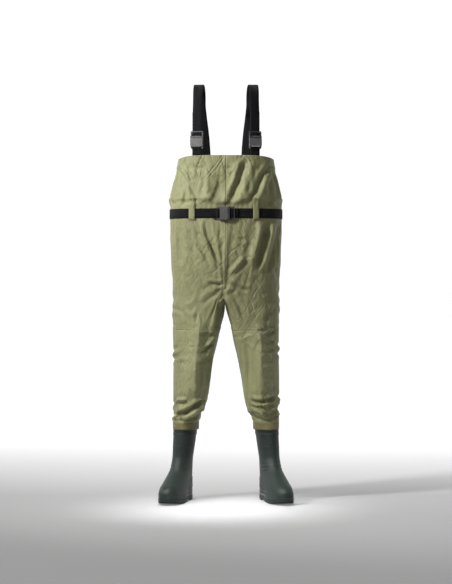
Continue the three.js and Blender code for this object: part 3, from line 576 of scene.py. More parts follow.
BACK_FOLDS = [
    ([(-0.150, 1.350), (-0.120, 1.260), (-0.105, 1.175)], 0.014, -0.006, 0.2),
    ([(-0.120, 1.352), (-0.085, 1.262), (-0.070, 1.172)], 0.018, 0.005, 0.1),
    ([(0.140, 1.345), (0.112, 1.262), (0.090, 1.175)], 0.014, -0.006, 0.2),
    ([(0.060, 1.340), (0.050, 1.260), (0.055, 1.180)], 0.020, 0.004, 0.0),
    ([(-0.030, 1.330), (-0.036, 1.250), (-0.025, 1.170)], 0.014, -0.004, 0.1),
    ([(-0.160, 1.105), (-0.130, 1.020), (-0.090, 0.940)], 0.014, -0.008, 0.2),
    ([(-0.130, 1.108), (-0.100, 1.030), (-0.060, 0.950)], 0.016, 0.006, 0.1),
    ([(0.150, 1.108), (0.125, 1.020), (0.085, 0.935)], 0.014, -0.008, 0.2),
    ([(0.118, 1.108), (0.095, 1.030), (0.055, 0.950)], 0.016, 0.006, 0.1),
    ([(0.030, 1.100), (0.026, 1.050), (0.032, 1.000)], 0.012, -0.004, 0.2),
    ([(-0.130, 0.890), (-0.070, 0.862), (-0.012, 0.868)], 0.012, -0.007, 0.3),
    ([(-0.140, 0.866), (-0.080, 0.840), (-0.020, 0.846)], 0.012, 0.006, 0.2),
    ([(0.140, 0.885), (0.075, 0.860), (0.014, 0.866)], 0.012, -0.007, 0.3),
    ([(0.150, 0.858), (0.085, 0.836), (0.024, 0.842)], 0.012, 0.006, 0.2),
    ([(-0.180, 0.640), (-0.130, 0.615), (-0.070, 0.630)], 0.010, -0.008, 0.4),
    ([(-0.180, 0.660), (-0.130, 0.636), (-0.070, 0.650)], 0.011, 0.006, 0.3),
    ([(-0.185, 0.590), (-0.135, 0.570), (-0.080, 0.590)], 0.010, -0.007, 0.4),
    ([(-0.182, 0.612), (-0.132, 0.592), (-0.075, 0.610)], 0.010, 0.006, 0.3),
    ([(0.185, 0.645), (0.130, 0.620), (0.066, 0.636)], 0.010, -0.008, 0.4),
    ([(0.185, 0.665), (0.130, 0.640), (0.066, 0.656)], 0.011, 0.006, 0.3),
    ([(0.188, 0.585), (0.140, 0.566), (0.085, 0.584)], 0.010, -0.007, 0.4),
    ([(0.186, 0.606), (0.138, 0.586), (0.082, 0.604)], 0.010, 0.006, 0.3),
    ([(-0.205, 0.420), (-0.160, 0.396), (-0.105, 0.410)], 0.010, -0.009, 0.5),
    ([(-0.205, 0.402), (-0.162, 0.378), (-0.110, 0.392)], 0.009, 0.008, 0.4),
    ([(-0.205, 0.366), (-0.165, 0.350), (-0.120, 0.364)], 0.008, -0.008, 0.5),
    ([(-0.200, 0.350), (-0.165, 0.335), (-0.125, 0.348)], 0.008, 0.006, 0.4),
    ([(0.205, 0.412), (0.165, 0.392), (0.105, 0.404)], 0.010, -0.009, 0.5),
    ([(0.205, 0.394), (0.166, 0.374), (0.110, 0.386)], 0.009, 0.008, 0.4),
    ([(0.205, 0.358), (0.165, 0.344), (0.120, 0.354)], 0.008, -0.008, 0.5),
    ([(0.200, 0.342), (0.165, 0.330), (0.125, 0.338)], 0.008, 0.006, 0.4),
]

# folds seen from the wearer's left, as (distance behind the middle, height); mirrored for the right
SIDE_FOLDS = [
    ([(-0.030, 1.340), (-0.012, 1.260), (-0.020, 1.175)], 0.016, -0.007, 0.2),
    ([(0.040, 1.335), (0.030, 1.260), (0.036, 1.180)], 0.018, 0.005, 0.1),
    ([(0.080, 1.330), (0.070, 1.250), (0.085, 1.175)], 0.014, -0.005, 0.2),
    ([(-0.060, 1.105), (-0.030, 1.020), (-0.035, 0.930)], 0.016, -0.008, 0.2),
    ([(0.020, 1.108), (0.030, 1.010), (0.010, 0.910)], 0.018, 0.006, 0.1),
    ([(0.070, 1.105), (0.075, 1.010), (0.050, 0.900)], 0.014, -0.006, 0.2),
    ([(-0.070, 0.850), (-0.020, 0.820), (0.050, 0.830)], 0.014, -0.006, 0.2),
    ([(-0.060, 0.780), (0.000, 0.760), (0.060, 0.775)], 0.014, 0.005, 0.2),
    ([(-0.060, 0.640), (0.000, 0.618), (0.060, 0.630)], 0.009, -0.006, 0.4),
    ([(-0.060, 0.600), (0.000, 0.582), (0.060, 0.596)], 0.009, -0.006, 0.4),
    ([(-0.060, 0.620), (0.000, 0.600), (0.060, 0.613)], 0.009, 0.005, 0.3),
    ([(-0.050, 0.430), (0.010, 0.406), (0.070, 0.420)], 0.009, -0.008, 0.5),
    ([(-0.045, 0.414), (0.012, 0.388), (0.072, 0.402)], 0.009, 0.007, 0.4),
    ([(-0.040, 0.376), (0.015, 0.356), (0.075, 0.368)], 0.008, -0.008, 0.5),
    ([(-0.040, 0.358), (0.015, 0.340), (0.075, 0.350)], 0.008, 0.006, 0.4),
]


FOLD_WIDTH = 0.85  # every half width in the fold tables is multiplied by this


def fold_height(across, height, fold):
    """How far the fold lifts the cloth at each place: a crest, and a shallow roll beside it."""
    line, half_width, rise, sharp = fold
    half_width *= FOLD_WIDTH
    line = np.array(line)
    lift = np.zeros(len(across))
    reach = 4 * half_width
    near = (across > line[:, 0].min() - reach) & (across < line[:, 0].max() + reach)
    near &= (height > line[:, 1].min() - reach) & (height < line[:, 1].max() + reach)
    across, height = across[near], height[near]
    steps = np.hypot(*np.diff(line, axis=0).T)
    total = steps.sum()
    gap = np.full(len(across), 9.0)
    along = np.zeros(len(across))
    done = 0.0
    for start, end, length in zip(line, line[1:], steps):
        direction = (end - start) / length
        from_start = np.stack([across - start[0], height - start[1]], axis=1)
        share = np.clip(from_start @ direction, 0, length)
        off_line = from_start - share[:, None] * direction
        side = np.sign(off_line[:, 0] * direction[1] - off_line[:, 1] * direction[0])
        distance = np.hypot(*off_line.T)
        closer = distance < np.abs(gap)
        along[closer] = (done + share[closer]) / total
        gap[closer] = (distance * np.where(side == 0, 1, side))[closer]
        done += length
    gap = gap / half_width
    round_shape = np.exp(-gap ** 2)
    tent = np.clip(1 - np.abs(gap) / 1.4, 0, 1) ** 1.2
    roll = np.exp(-((np.abs(gap) - 2.1) / 0.9) ** 2) * np.where(gap > 0, 0.42, 0.12)
    roll *= half_width < 0.03
    ends = smooth_step(along, -0.05, 0.2) * smooth_step(1 - along, -0.05, 0.2)
    sharp = 0.35 + 0.65 * sharp
    lift[near] = rise * ends * ((1 - sharp) * round_shape + sharp * tent - roll)
    return lift


# where small creases gather: the range across, the range in height, their slope and its spread in
# degrees, and how many
CREASED = [
    (-0.16, 0.16, 1.18, 1.32, 70, 25, 9),
    (0.02, 0.16, 0.90, 1.10, 62, 22, 12),
    (-0.16, 0.02, 0.88, 1.10, -62, 22, 9),
    (-0.15, 0.15, 0.74, 0.88, 25, 28, 18),
    (-0.16, -0.06, 0.57, 0.70, 15, 20, 8),
    (0.06, 0.16, 0.57, 0.70, -12, 20, 10),
    (-0.18, -0.10, 0.33, 0.43, 28, 18, 8),
    (0.10, 0.18, 0.33, 0.43, -24, 20, 8),
]


def small_creases(seed):
    """Short crisp creases of stiff cloth, scattered where it is worked most."""
    chance = np.random.RandomState(seed)
    creases = []
    for x0, x1, z0, z1, slope, spread, count in CREASED:
        for _ in range(count):
            x, z = chance.uniform(x0, x1), chance.uniform(z0, z1)
            angle = math.radians(chance.normal(slope, spread))
            half, bend = chance.uniform(0.010, 0.032), chance.uniform(-0.3, 0.3)
            dx, dz = half * math.cos(angle), half * math.sin(angle)
            line = [(x - dx, z - dz), (x + bend * dz, z - bend * dx), (x + dx, z + dz)]
            half_width = chance.uniform(0.007, 0.012)
            rise = chance.choice([-1, 1]) * chance.uniform(0.0010, 0.0022)
            creases.append((line, half_width, rise, 0.8))
    return creases


HEM_STEP = 0.0011
SEAM_PINCH = 0.0016
CORNER_DROOP = 0.013


def fold_cloth(points, normals):
    """Lifts the cloth into its folds, steps it at the hem, pinches it at the leg seam and drops the corners."""
    x, y, z = points.T
    depth = y - MIDDLE
    lift = np.zeros(len(points))
    facing = {
        "front": smooth_step(-normals[:, 1], 0.05, 0.5),
        "back": smooth_step(normals[:, 1], 0.05, 0.5),
        "left": smooth_step(normals[:, 0], 0.25, 0.8) * (x > 0.1),
        "right": smooth_step(-normals[:, 0], 0.25, 0.8) * (x < -0.1),
    }
    for fold in FRONT_FOLDS + small_creases(seed=3):
        lift += facing["front"] * fold_height(x, z, fold)
    for fold in BACK_FOLDS + small_creases(seed=8):
        lift += facing["back"] * fold_height(x, z, fold)
    for fold in SIDE_FOLDS:
        lift += 0.6 * facing["left"] * fold_height(depth, z, fold)
        lift += 0.55 * facing["right"] * fold_height(depth * 1.1 + 0.01, z + 0.021, fold)
    edge = smooth_step(BIB_TOP - z, 0.0, 0.05)
    cuff = smooth_step(z - CUFF_TOP, 0.0, 0.02)
    belt = 0.15 + 0.85 * smooth_step(np.abs(z - BELT), 0.018, 0.045)
    lift = lift * edge * cuff * belt
    lift += HEM_STEP * smooth_step(z, BIB_TOP - HEM - 0.002, BIB_TOP - HEM + 0.003)
    lift -= SEAM_PINCH * np.exp(-((z - KNEE_SEAM) / 0.005) ** 2) * (normals[:, 2] ** 2 < 0.5)
    folded = points + normals * lift[:, None]
    corner = (np.abs(x) / 0.19) ** 6
    folded[:, 2] -= CORNER_DROOP * corner * smooth_step(z, BIB_TOP - 0.16, BIB_TOP)
    return folded


def vertex_array(mesh, kind="co"):
    """Every vertex's place, or its normal."""
    values = np.empty(len(mesh.vertices) * 3)
    if kind == "co":
        mesh.vertices.foreach_get("co", values)
    else:
        mesh.vertex_normals.foreach_get("vector", values)
    return values.reshape(-1, 3)


def set_points(mesh, points):
    mesh.vertices.foreach_set("co", np.asarray(points).ravel())
    mesh.update()


def inner_form(points, faces, normals):
    """What fills the garment while its cloth settles: the same shape, a little smaller."""
    form = mesh_object("inner_form", points - normals * 0.012, faces, olive_fabric)
    form.modifiers.new("collision", "COLLISION")
    form.collision.thickness_outer = 0.003
    form.collision.cloth_friction = 20
    return form


def settle(skin, frames=26):
    """Lets the cloth hang from its hem, belt line and cuffs with a little spare length."""
    points = vertex_array(skin.data)
    height = points[:, 2]
    hold = np.maximum.reduce([
        smooth_step(height, BIB_TOP - HEM - 0.03, BIB_TOP - HEM),
        1 - smooth_step(np.abs(height - BELT), 0.018, 0.034),
        1 - smooth_step(height, CUFF_TOP + 0.004, CUFF_TOP + 0.016),
    ])
    held = skin.vertex_groups.new(name="held")
    for index in np.nonzero(hold > 0.01)[0]:
        held.add([int(index)], float(hold[index]), "REPLACE")
    cloth = skin.modifiers.new("cloth", "CLOTH")
    cloth.settings.quality = 5
    cloth.settings.mass = 0.35
    cloth.settings.tension_stiffness = 40
    cloth.settings.compression_stiffness = 40
    cloth.settings.shear_stiffness = 12
    cloth.settings.bending_stiffness = 1.2
    cloth.settings.air_damping = 4
    cloth.settings.vertex_group_mass = "held"
    cloth.settings.shrink_min = -0.035
    cloth.collision_settings.distance_min = 0.002
    scene = bpy.context.scene
    scene.frame_start = 1
    scene.frame_end = frames
    for moment in range(1, frames + 1):
        scene.frame_set(moment)
    apply_modifiers(skin)
    skin.vertex_groups.clear()
    scene.frame_set(1)


def garment_skin():
    points, faces, labels = garment_grid()
    points = lift_crotch(points)
    skin = mesh_object("garment", points, faces, olive_fabric)
    for _ in PANELS[1:]:
        skin.data.materials.append(olive_fabric)
    skin.data.polygons.foreach_set("material_index", labels)
    form = inner_form(points, faces, vertex_array(skin.data, "normal"))
    settle(skin)
    bpy.data.objects.remove(form)
    refine = skin.modifiers.new("finer", "SUBSURF")
    refine.levels = 1
    return apply_modifiers(skin)


garment = garment_skin()
set_points(garment.data, fold_cloth(vertex_array(garment.data), vertex_array(garment.data, "normal")))


def cut_from_garment(name, keep, material, thickness=FABRIC, outward=0.0):
    """A copy of the faces of the garment that pass the test, moved along their normals, as a closed sheet."""
    mesh = bpy.data.meshes.new(name)
    cloth = bmesh.new()
    cloth.from_mesh(garment.data)
    if outward:
        for vertex in cloth.verts:
            vertex.co += vertex.normal * outward
    dropped = [face for face in cloth.faces if not keep(face, face.calc_center_median())]
    bmesh.ops.delete(cloth, geom=dropped, context="FACES")
    for face in cloth.faces:
        face.material_index = 0
    cloth.to_mesh(mesh)
    cloth.free()
    mesh.materials.append(material)
    mesh.shade_smooth()
    panel = bpy.data.objects.new(name, mesh)
    bpy.context.collection.objects.link(panel)
    thick = panel.modifiers.new("thickness", "SOLIDIFY")
    thick.thickness = thickness
    thick.offset = -1
    return apply_modifiers(panel)


def piece_for(piece, body, slot, *nodes):
    """Hides the CAD nodes a finished piece stands for and attaches it to the body it rides; slot, its finish, is not
    used.
    """
    if nodes:
        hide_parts(*nodes)
    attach(piece, body)
    return piece


TAPE_HALF = 0.011


def in_panel(label):
    return lambda face, centre: face.material_index == label


def in_cuff(sign):
    return lambda face, centre: centre.x * sign > 0 and CUFF_BOTTOM - 0.001 < centre.z < CUFF_TOP - 0.001


def in_tape(sign):
    def test(face, centre):
        on_seam = abs(centre.x) < TAPE_HALF and (centre.y - MIDDLE) * sign > 0.09
        return on_seam and centre.z > CROTCH + 0.02
    return test


for side, sign in SIDES.items():
    panel = in_panel(PANELS.index(f"upper_{side}"))
    upper = cut_from_garment(f"body_panel_cloth_{side}", panel, olive_fabric)
    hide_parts(f"body_panel_{side}", f"crotch_fold_{side}")
    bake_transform(upper)
    panel = in_panel(PANELS.index(f"lower_{side}"))
    lower = cut_from_garment(f"lower_leg_cloth_{side}", panel, olive_fabric)
    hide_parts(f"thigh_panel_{side}", f"knee_fold_{side}", f"shin_panel_{side}")
    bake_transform(lower)
    cuff = cut_from_garment(f"cuff_band_{side}", in_cuff(sign), cuff_fabric, thickness=0.0015, outward=0.0016)
    piece_for(cuff, f"shin_{side}", "cuff_band", f"ankle_cuff_{side}")

for place, sign in (("front", -1), ("back", 1)):
    inward = -FABRIC - 0.0006
    tape = cut_from_garment(f"seam_sealing_tape_{place}", in_tape(sign), tape_fabric, 0.0004, inward)
    piece_for(tape, "root", "seam_tape", f"seam_tape_{place}")

# ---------------------------------------------------------------- straps


def smooth_path(points, steps=8):
    """A Catmull-Rom curve through the points."""
    points = [Vector(point) for point in points]
    ends = [points[0] * 2 - points[1]] + points + [points[-1] * 2 - points[-2]]
    curve = []
    for a, b, c, d in zip(ends, ends[1:], ends[2:], ends[3:]):
        for step in range(steps):
            t = step / steps
            square, cube = 2 * a - 5 * b + 4 * c - d, 3 * b - a - 3 * c + d
            curve.append(0.5 * (2 * b + (c - a) * t + square * t ** 2 + cube * t ** 3))
    return curve + [points[-1]]


def even_path(points, spacing):
    """The same line, with points an even distance apart."""
    points = np.array([tuple(point) for point in points])
    run = run_along(points)
    even = np.linspace(0, run[-1], max(3, int(run[-1] / spacing)))
    return [Vector([np.interp(place, run, points[:, axis]) for axis in range(3)]) for place in even]


def strap(name, path, across, width, thickness, material):
    """Webbing or a fabric strip along a path. across gives its width direction at each place."""
    half, edge = width / 2, thickness / 2
    under = [(u, -edge) for u in (-half + edge * 0.3, -half / 2, 0, half / 2, half - edge * 0.3)]
    over = [(-u, edge) for u, _ in under]
    outline = under + [(half, -edge * 0.5), (half, edge * 0.5)] + over + [(-half, edge * 0.5), (-half, -edge * 0.5)]
    points, places = [], []
    run = 0.0
    for index, point in enumerate(path):
        ahead = path[min(index + 1, len(path) - 1)]
        behind = path[max(index - 1, 0)]
        along = (ahead - behind).normalized()
        side = Vector(across(point))
        side = (side - along * side.dot(along)).normalized()
        out = along.cross(side)
        run += (point - path[index - 1]).length if index else 0
        for u, v in outline:
            points.append(point + side * u + out * v)
            places.append((u, run))
    faces = ring_faces(len(outline), len(path)) + end_faces(len(outline), len(path))
    piece = mesh_object(name, points, faces, material)
    layer = piece.data.uv_layers.new(name="weave")
    for loop in piece.data.loops:
        layer.data[loop.index].uv = places[loop.vertex_index]
    return piece


JOINTS = {joint["name"]: joint for joint in frame["joints"]}


def buckle_frame(first, second, along):
    """How a buckle stands: a function from its own depth (back is positive) and rise to a place, and its width."""
    first, second = (Vector(JOINTS[name]["pos_m"]) for name in (first, second))
    across = (first - second).normalized()
    along = Vector(along)
    back = along.cross(across)
    origin = (first + second) / 2 - back * PRONG_DEPTH - along * PRONG_RISE

    def at(depth, rise):
        return origin + back * depth + along * rise

    return at, across


# A buckle's own measures: depth from its back face, and rise from the end of its socket to the clip
PLASTIC = 0.011
LAYER = 0.0025
BACK_OF_BODY = -0.0015
PRONG_DEPTH = BACK_OF_BODY - PLASTIC / 2
PRONG_RISE = 0.0296
OVER_BARS = -0.0070
SOCKET_SLOT = -0.006
SOCKET_END = -0.010
LOW_SLOT = 0.0415
HIGH_SLOT = 0.0515
CLIP_END = 0.0585

# where webbing runs over the bars, as (depth, rise)
SOCKET_WRAP = [
    (0, SOCKET_SLOT / 2), (OVER_BARS / 2, SOCKET_SLOT / 2 + 0.0012), (OVER_BARS, SOCKET_SLOT / 2 - 0.001),
    (OVER_BARS, SOCKET_END), (-LAYER, SOCKET_END - 0.006), (-LAYER, SOCKET_END - 0.024),
]
CLIP_WRAP = [
    (LAYER, LOW_SLOT + 0.0015), (OVER_BARS / 2, LOW_SLOT - 0.0010), (OVER_BARS, LOW_SLOT + 0.0015),
    (OVER_BARS, HIGH_SLOT - 0.0015), (OVER_BARS / 2, HIGH_SLOT + 0.0010), (0, HIGH_SLOT + 0.0020),
]


def outline_y(height, x, back):
    """How far back the garment's skin is at a height and distance from the middle plane."""
    xs, ys = even_half(height)
    half = len(xs) // 2
    rows = slice(half, None) if back else slice(0, half)
    order = np.argsort(xs[rows])
    return MIDDLE + np.interp(abs(x), xs[rows][order], ys[rows][order])


BACK_STRAP = 0.080  # where a brace enters the back hem, from the middle
BRACE_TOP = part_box("brace_webbing_left")[1][2] - WEBBING / 2
TAIL = 0.074  # free end of the webbing above the clip
# share of the way over the shoulder, and distance from the middle there
OVER_SHOULDER = [(0.0, 0.1115), (0.25, 0.109), (0.5, 0.106), (0.75, 0.103), (1.0, 0.1005)]
# distance from the middle and height of the run down the back
DOWN_BACK = [
    (0.0955, 1.535), (0.088, 1.475), (0.083, 1.42), (0.081, BIB_TOP + 0.01), (0.080, BIB_TOP - HEM + 0.004),
]


def brace_tab(side, at, across):
    """The short webbing from the front hem to the socket."""
    path = [at(0, BIB_TOP - HEM - at(0, 0).z), at(0, SOCKET_END - 0.012), at(0, SOCKET_END - 0.003)]
    path += [at(*place) for place in SOCKET_WRAP]
    path = even_path(smooth_path(path, 6), 0.0012)
    name = f"brace_tab_webbing_{side}"
    piece = strap(name, path, lambda point: across, WEBBING_WIDTH, WEBBING, black_webbing)
    piece_for(piece, "root", "webbing", f"brace_tab_{side}")


def brace(side, sign, at, across):
    """The webbing from its free end, round the clip's bars and over the shoulder to the back hem."""
    run = [at(0, CLIP_END + TAIL), at(0, CLIP_END + 0.03), at(0, HIGH_SLOT + 0.008)]
    run += [at(*place) for place in CLIP_WRAP[::-1]]
    run += [at(LAYER, LOW_SLOT + 0.006), at(LAYER, CLIP_END), at(LAYER, CLIP_END + 0.06)]
    front_y = at(LAYER, 0).y
    back_y = outline_y(BIB_TOP, BACK_STRAP, True) - FABRIC - WEBBING
    crown = BRACE_TOP - 0.068
    for angle in np.linspace(0, math.pi, 11):
        share = (1 - math.cos(angle)) / 2
        x = np.interp(share, *zip(*OVER_SHOULDER))
        height = crown + 0.075 * abs(math.sin(angle)) ** 0.8
        run.append(Vector((sign * x, front_y + (back_y - front_y) * share, height)))
    run += [Vector((sign * x, back_y, height)) for x, height in DOWN_BACK]
    slope = across.y / across.x * sign

    def facing(point):
        share = smooth_step(point.y, front_y + 0.02, back_y - 0.02)
        return 1, sign * slope * (1 - 1.6 * share), 0

    path = even_path(smooth_path(run, 6), 0.0016)
    piece = strap(f"brace_strap_{side}", path, facing, WEBBING_WIDTH, WEBBING, black_webbing)
    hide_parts(f"brace_webbing_{side}", f"brace_front_run_{side}")
    start, end = (0, back_y, BIB_TOP), (0, front_y + 0.01, BIB_TOP)
    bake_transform(piece)
    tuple(start)
    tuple(end)


for side, sign in SIDES.items():
    prongs = [f"brace_prong_{place}_squeeze_{side}" for place in ("outer", "inner")]
    at, across = buckle_frame(*prongs[::sign], (0, 0, 1))
    brace_tab(side, at, across)
    brace(side, sign, at, across)

# ---------------------------------------------------------------- belt and its loops

at, across = buckle_frame("belt_prong_lower_squeeze", "belt_prong_upper_squeeze", (1, 0, 0))
BELT_OFFSET = 0.0021
BELT_JOIN = 0.117  # the belt's two lengths meet here, under the wearer's left front loop
BELT_ENDS = 0.055  # the belt leaves the body this far from the middle, for the buckle
waist_x, waist_y = even_half(BELT)
waist_x = waist_x * (1 + BELT_OFFSET / waist_x.max())
waist_y = waist_y * (1 + BELT_OFFSET / abs(waist_y).max()) + MIDDLE
waist = [(x, y) for x, y in zip(waist_x, waist_y) if x >= BELT_ENDS or y >= MIDDLE]
round_left = [Vector((x, y, BELT)) for x, y in waist]
round_right = [Vector((-x, y, BELT)) for x, y in waist[::-1]]
clip_side = [at(0, CLIP_END + 0.012), at(0, HIGH_SLOT + 0.006)] + [at(*place) for place in CLIP_WRAP[::-1]]
clip_side += [at(LAYER, LOW_SLOT + 0.006), at(LAYER, CLIP_END)] + round_left
socket_side = round_right[1:] + [at(0, SOCKET_END - 0.010), at(0, SOCKET_END - 0.002)]
socket_side += [at(*place) for place in SOCKET_WRAP]
belt_path = even_path(smooth_path(clip_side + socket_side, 4), 0.002)
PAST_BUCKLE = 40  # steps along the belt that lie round the clip's bars
join = next(i for i, point in enumerate(belt_path) if i > PAST_BUCKLE and point.x > BELT_JOIN)


def belt_length(name, path):
    piece = strap(name, path, lambda point: (0, 0, 1), WEBBING_WIDTH, WEBBING, black_webbing)
    return piece


# the belt is one webbing, in two lengths: the clip's side and the rest
belt_strap = belt_length("belt_strap", belt_path[join:])
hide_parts("belt_webbing")
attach(belt_strap, "root")
clip_length = belt_length("belt_strap_end", belt_path[:join])
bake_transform(clip_length)

corners = [vertex.co for vertex in garment.data.vertices]
garment_tree = BVHTree.FromPolygons(corners, [polygon.vertices for polygon in garment.data.polygons])


def on_skin(x, height, back=False):
    """The place on the garment's skin straight behind or in front of a point, and the way it faces."""
    away = 1 if back else -1
    place, normal, _, _ = garment_tree.ray_cast(Vector((x, MIDDLE + away * 0.5, height)), Vector((0, -away, 0)))
    return place, (normal if normal.y * away > 0 else -normal)


LOOP_WIDTH = 0.024
LOOP_BOTTOM = BELT - 0.028
LOOP_TOP = BELT + 0.060
OVER_BELT = BELT_OFFSET + WEBBING / 2 + 0.0014
# distance from the middle, and whether at the back
LOOPS = {
    "front_left": (0.117, False), "front_right": (-0.133, False),
    "back_left": (0.128, True), "back_right": (-0.128, True),
}
# distance out of the skin, and height
LOOP_PROFILE = [
    (0.0011, LOOP_BOTTOM), (0.0011, LOOP_BOTTOM + 0.004), (OVER_BELT, BELT - 0.0200), (OVER_BELT + 0.0006, BELT),
    (OVER_BELT, BELT + 0.0200), (0.0030, BELT + 0.034), (0.0011, LOOP_TOP - 0.012), (0.0011, LOOP_TOP),
]


def belt_loop(place, x, back):
    """A fabric strip sewn at both ends over the belt."""
    normal = on_skin(x, BELT, back)[1]
    path = [on_skin(x, height, back)[0] + normal * out for out, height in LOOP_PROFILE]
    path = even_path(smooth_path(path, 6), 0.002)
    across = (normal.y, -normal.x, 0)
    loop = strap(f"belt_loop_strip_{place}", path, lambda point: across, LOOP_WIDTH, 0.0016, olive_fabric)
    piece_for(loop, "root", "coated_fabric", f"belt_loop_{place}")


for place, (x, back) in LOOPS.items():
    belt_loop(place, x, back)

# ---------------------------------------------------------------- stitching


STITCH_PITCH = 0.0036
STITCH_LENGTH = 0.0025
THREAD = 0.0005
STITCH_RISE = 0.00035


def place_along(run, table, distance):
    return Vector([np.interp(distance, run, table[:, axis]) for axis in range(3)])


def stitch_line(points, faces, line, normals):
    """Adds a row of stitches along a line on the cloth."""
    line = np.array([tuple(point) for point in line])
    normals = np.array([tuple(normal) for normal in normals])
    run = run_along(line)
    for index in range(int(run[-1] / STITCH_PITCH)):
        distance = index * STITCH_PITCH
        start, end = place_along(run, line, distance), place_along(run, line, distance + STITCH_LENGTH)
        out = place_along(run, normals, distance).normalized()
        side = (end - start).cross(out).normalized() * THREAD
        first = len(points)
        for spot, lift in ((start, 0.0), (start.lerp(end, 0.5), STITCH_RISE), (end, 0.0)):
            points += [spot + side, spot + out * (THREAD + lift), spot - side]
        faces += ring_faces(3, 3, first)
        faces.append((first, first + 2, first + 1))
        faces.append((first + 6, first + 7, first + 8))


def skin_line(ends, back=False, steps=24):
    """A line between places (x, height) laid on the front or back of the skin."""
    line, normals = [], []
    for (x0, z0), (x1, z1) in zip(ends, ends[1:]):
        for step in range(steps + 1):
            place, normal = on_skin(x0 + (x1 - x0) * step / steps, z0 + (z1 - z0) * step / steps, back)
            line.append(place + normal * 0.0001)
            normals.append(normal)
    return line, normals


def box_stitch(x, low, high, half):
    """A box with a cross in it, sewn where a strap is anchored."""
    left, right = x - half, x + half
    box = [(left, low), (right, low), (right, high), (left, high), (left, low)]
    return box + [(right, high), (left, high), (right, low)]


FRONT_ANCHOR = 0.1137  # where a brace tab enters the front hem, from the middle
points, faces = [], []
hem_row = BIB_TOP - HEM + 0.001
for row in (hem_row, hem_row + 0.005):
    hem_x, hem_y = even_half(row)
    ring = list(zip(hem_x, hem_y)) + list(zip(-hem_x[-2::-1], hem_y[-2::-1]))
    outward = [Vector((x, y * 2, 0)).normalized() for x, y in ring]
    ring = [Vector((x, y + MIDDLE, row)) + out * 0.0002 for (x, y), out in zip(ring, outward)]
    stitch_line(points, faces, ring, outward)
for side, sign in SIDES.items():
    for x, back in ((FRONT_ANCHOR, False), (BACK_STRAP, True)):
        box = box_stitch(sign * x, BIB_TOP - 0.043, BIB_TOP - 0.006, 0.016)
        stitch_line(points, faces, *skin_line(box, back))
for back in (False, True):
    for x in (-0.0032, 0.0032):
        stitch_line(points, faces, *skin_line([(x, hem_row), (x, CROTCH + 0.05)], back, 120))
for x, back in LOOPS.values():
    for height in (LOOP_TOP - 0.006, LOOP_BOTTOM + 0.004):
        line, normals = skin_line([(x - 0.010, height), (x + 0.010, height)], back)
        stitch_line(points, faces, [place + normal * 0.002 for place, normal in zip(line, normals)], normals)
body_thread = mesh_object("body_stitching", points, faces, thread_olive)
piece_for(body_thread, "root", "coated_fabric")

for side, sign in SIDES.items():
    points, faces = [], []
    for height in (KNEE_SEAM - 0.003, KNEE_SEAM - 0.008):
        for back in (False, True):
            span = [(sign * 0.028, height), (sign * 0.198, height)]
            stitch_line(points, faces, *skin_line(span, back, 40))
    leg_thread = mesh_object(f"knee_seam_stitching_{side}", points, faces, thread_olive)
    piece_for(leg_thread, f"thigh_{side}", "coated_fabric")

# ---------------------------------------------------------------- boots

ANKLE = 0.170
SOLE_TOP = boot_low[2]
TOE_OUT = math.radians(17)
# height, reach towards the toe, reach towards the heel, width and squareness of a boot's section
BOOT = np.array([
    (SOLE_TOP, 0.221, 0.070, 0.087, 2.3),
    (0.038, 0.225, 0.071, 0.090, 2.3),
    (0.060, 0.214, 0.069, 0.088, 2.3),
    (0.080, 0.184, 0.066, 0.085, 2.2),
    (0.100, 0.138, 0.064, 0.082, 2.2),
    (0.124, 0.094, 0.062, 0.078, 2.1),
    (ANKLE, 0.063, 0.063, 0.076, 2.0),
    (0.240, 0.065, 0.067, 0.085, 2.0),
    (BOOT_TOP, 0.067, 0.067, 0.090, 2.0),
])
BOOT_COLUMNS = 112


CORNER_REACH = 0.011


def rounded_table(table, height):
    """Values at a height, with the table's corners rounded off."""
    low, high = table[0, 0], table[-1, 0]
    rows = []
    for step in np.linspace(-CORNER_REACH, CORNER_REACH, 9):
        step *= min(1, (height - low) / CORNER_REACH, (high - height) / CORNER_REACH)
        rows.append(between(table, min(max(height + step, low), high)))
    return np.mean(rows, axis=0)


def band(value, low, high, soft):
    """1 from low to high and 0 outside, with soft edges."""
    return smooth_step(value, low - soft, low + soft) * (1 - smooth_step(value, high - soft, high + soft))


def boot_ring(height):
    """The boot's outline at a height: places, the way each faces, and how far each is towards the heel."""
    toe, heel, width, squareness = rounded_table(BOOT, height)
    angle = np.linspace(0, 2 * math.pi, BOOT_COLUMNS, endpoint=False)
    across, along = (np.sign(turn) * np.abs(turn) ** (2 / squareness) for turn in (np.cos(angle), np.sin(angle)))
    foot = np.clip((ANKLE - height) / (ANKLE - 0.02), 0, 1)
    waist = 0.16 * np.exp(-((along - 0.22) / 0.28) ** 2) * smooth_step(0.075 - height, 0, 0.05)
    narrowed = 1 - waist * (across < 0) - 0.4 * waist * (across > 0)
    x = across * (1 - 0.2 * foot * along) * narrowed * width / 2
    y = (heel - toe) / 2 + along * (toe + heel) / 2
    run_x, run_y = np.roll(x, -1) - np.roll(x, 1), np.roll(y, -1) - np.roll(y, 1)
    length = np.hypot(run_x, run_y)
    return x, y, run_y / length, -run_x / length, along


def grown_ring(outline_height, growth, height, sign):
    """The boot's outline at one height, moved outwards and set at another."""
    x, y, out_x, out_y, _ = boot_ring(outline_height)
    return list(place_boot(x + out_x * growth, y + out_y * growth, height, sign))


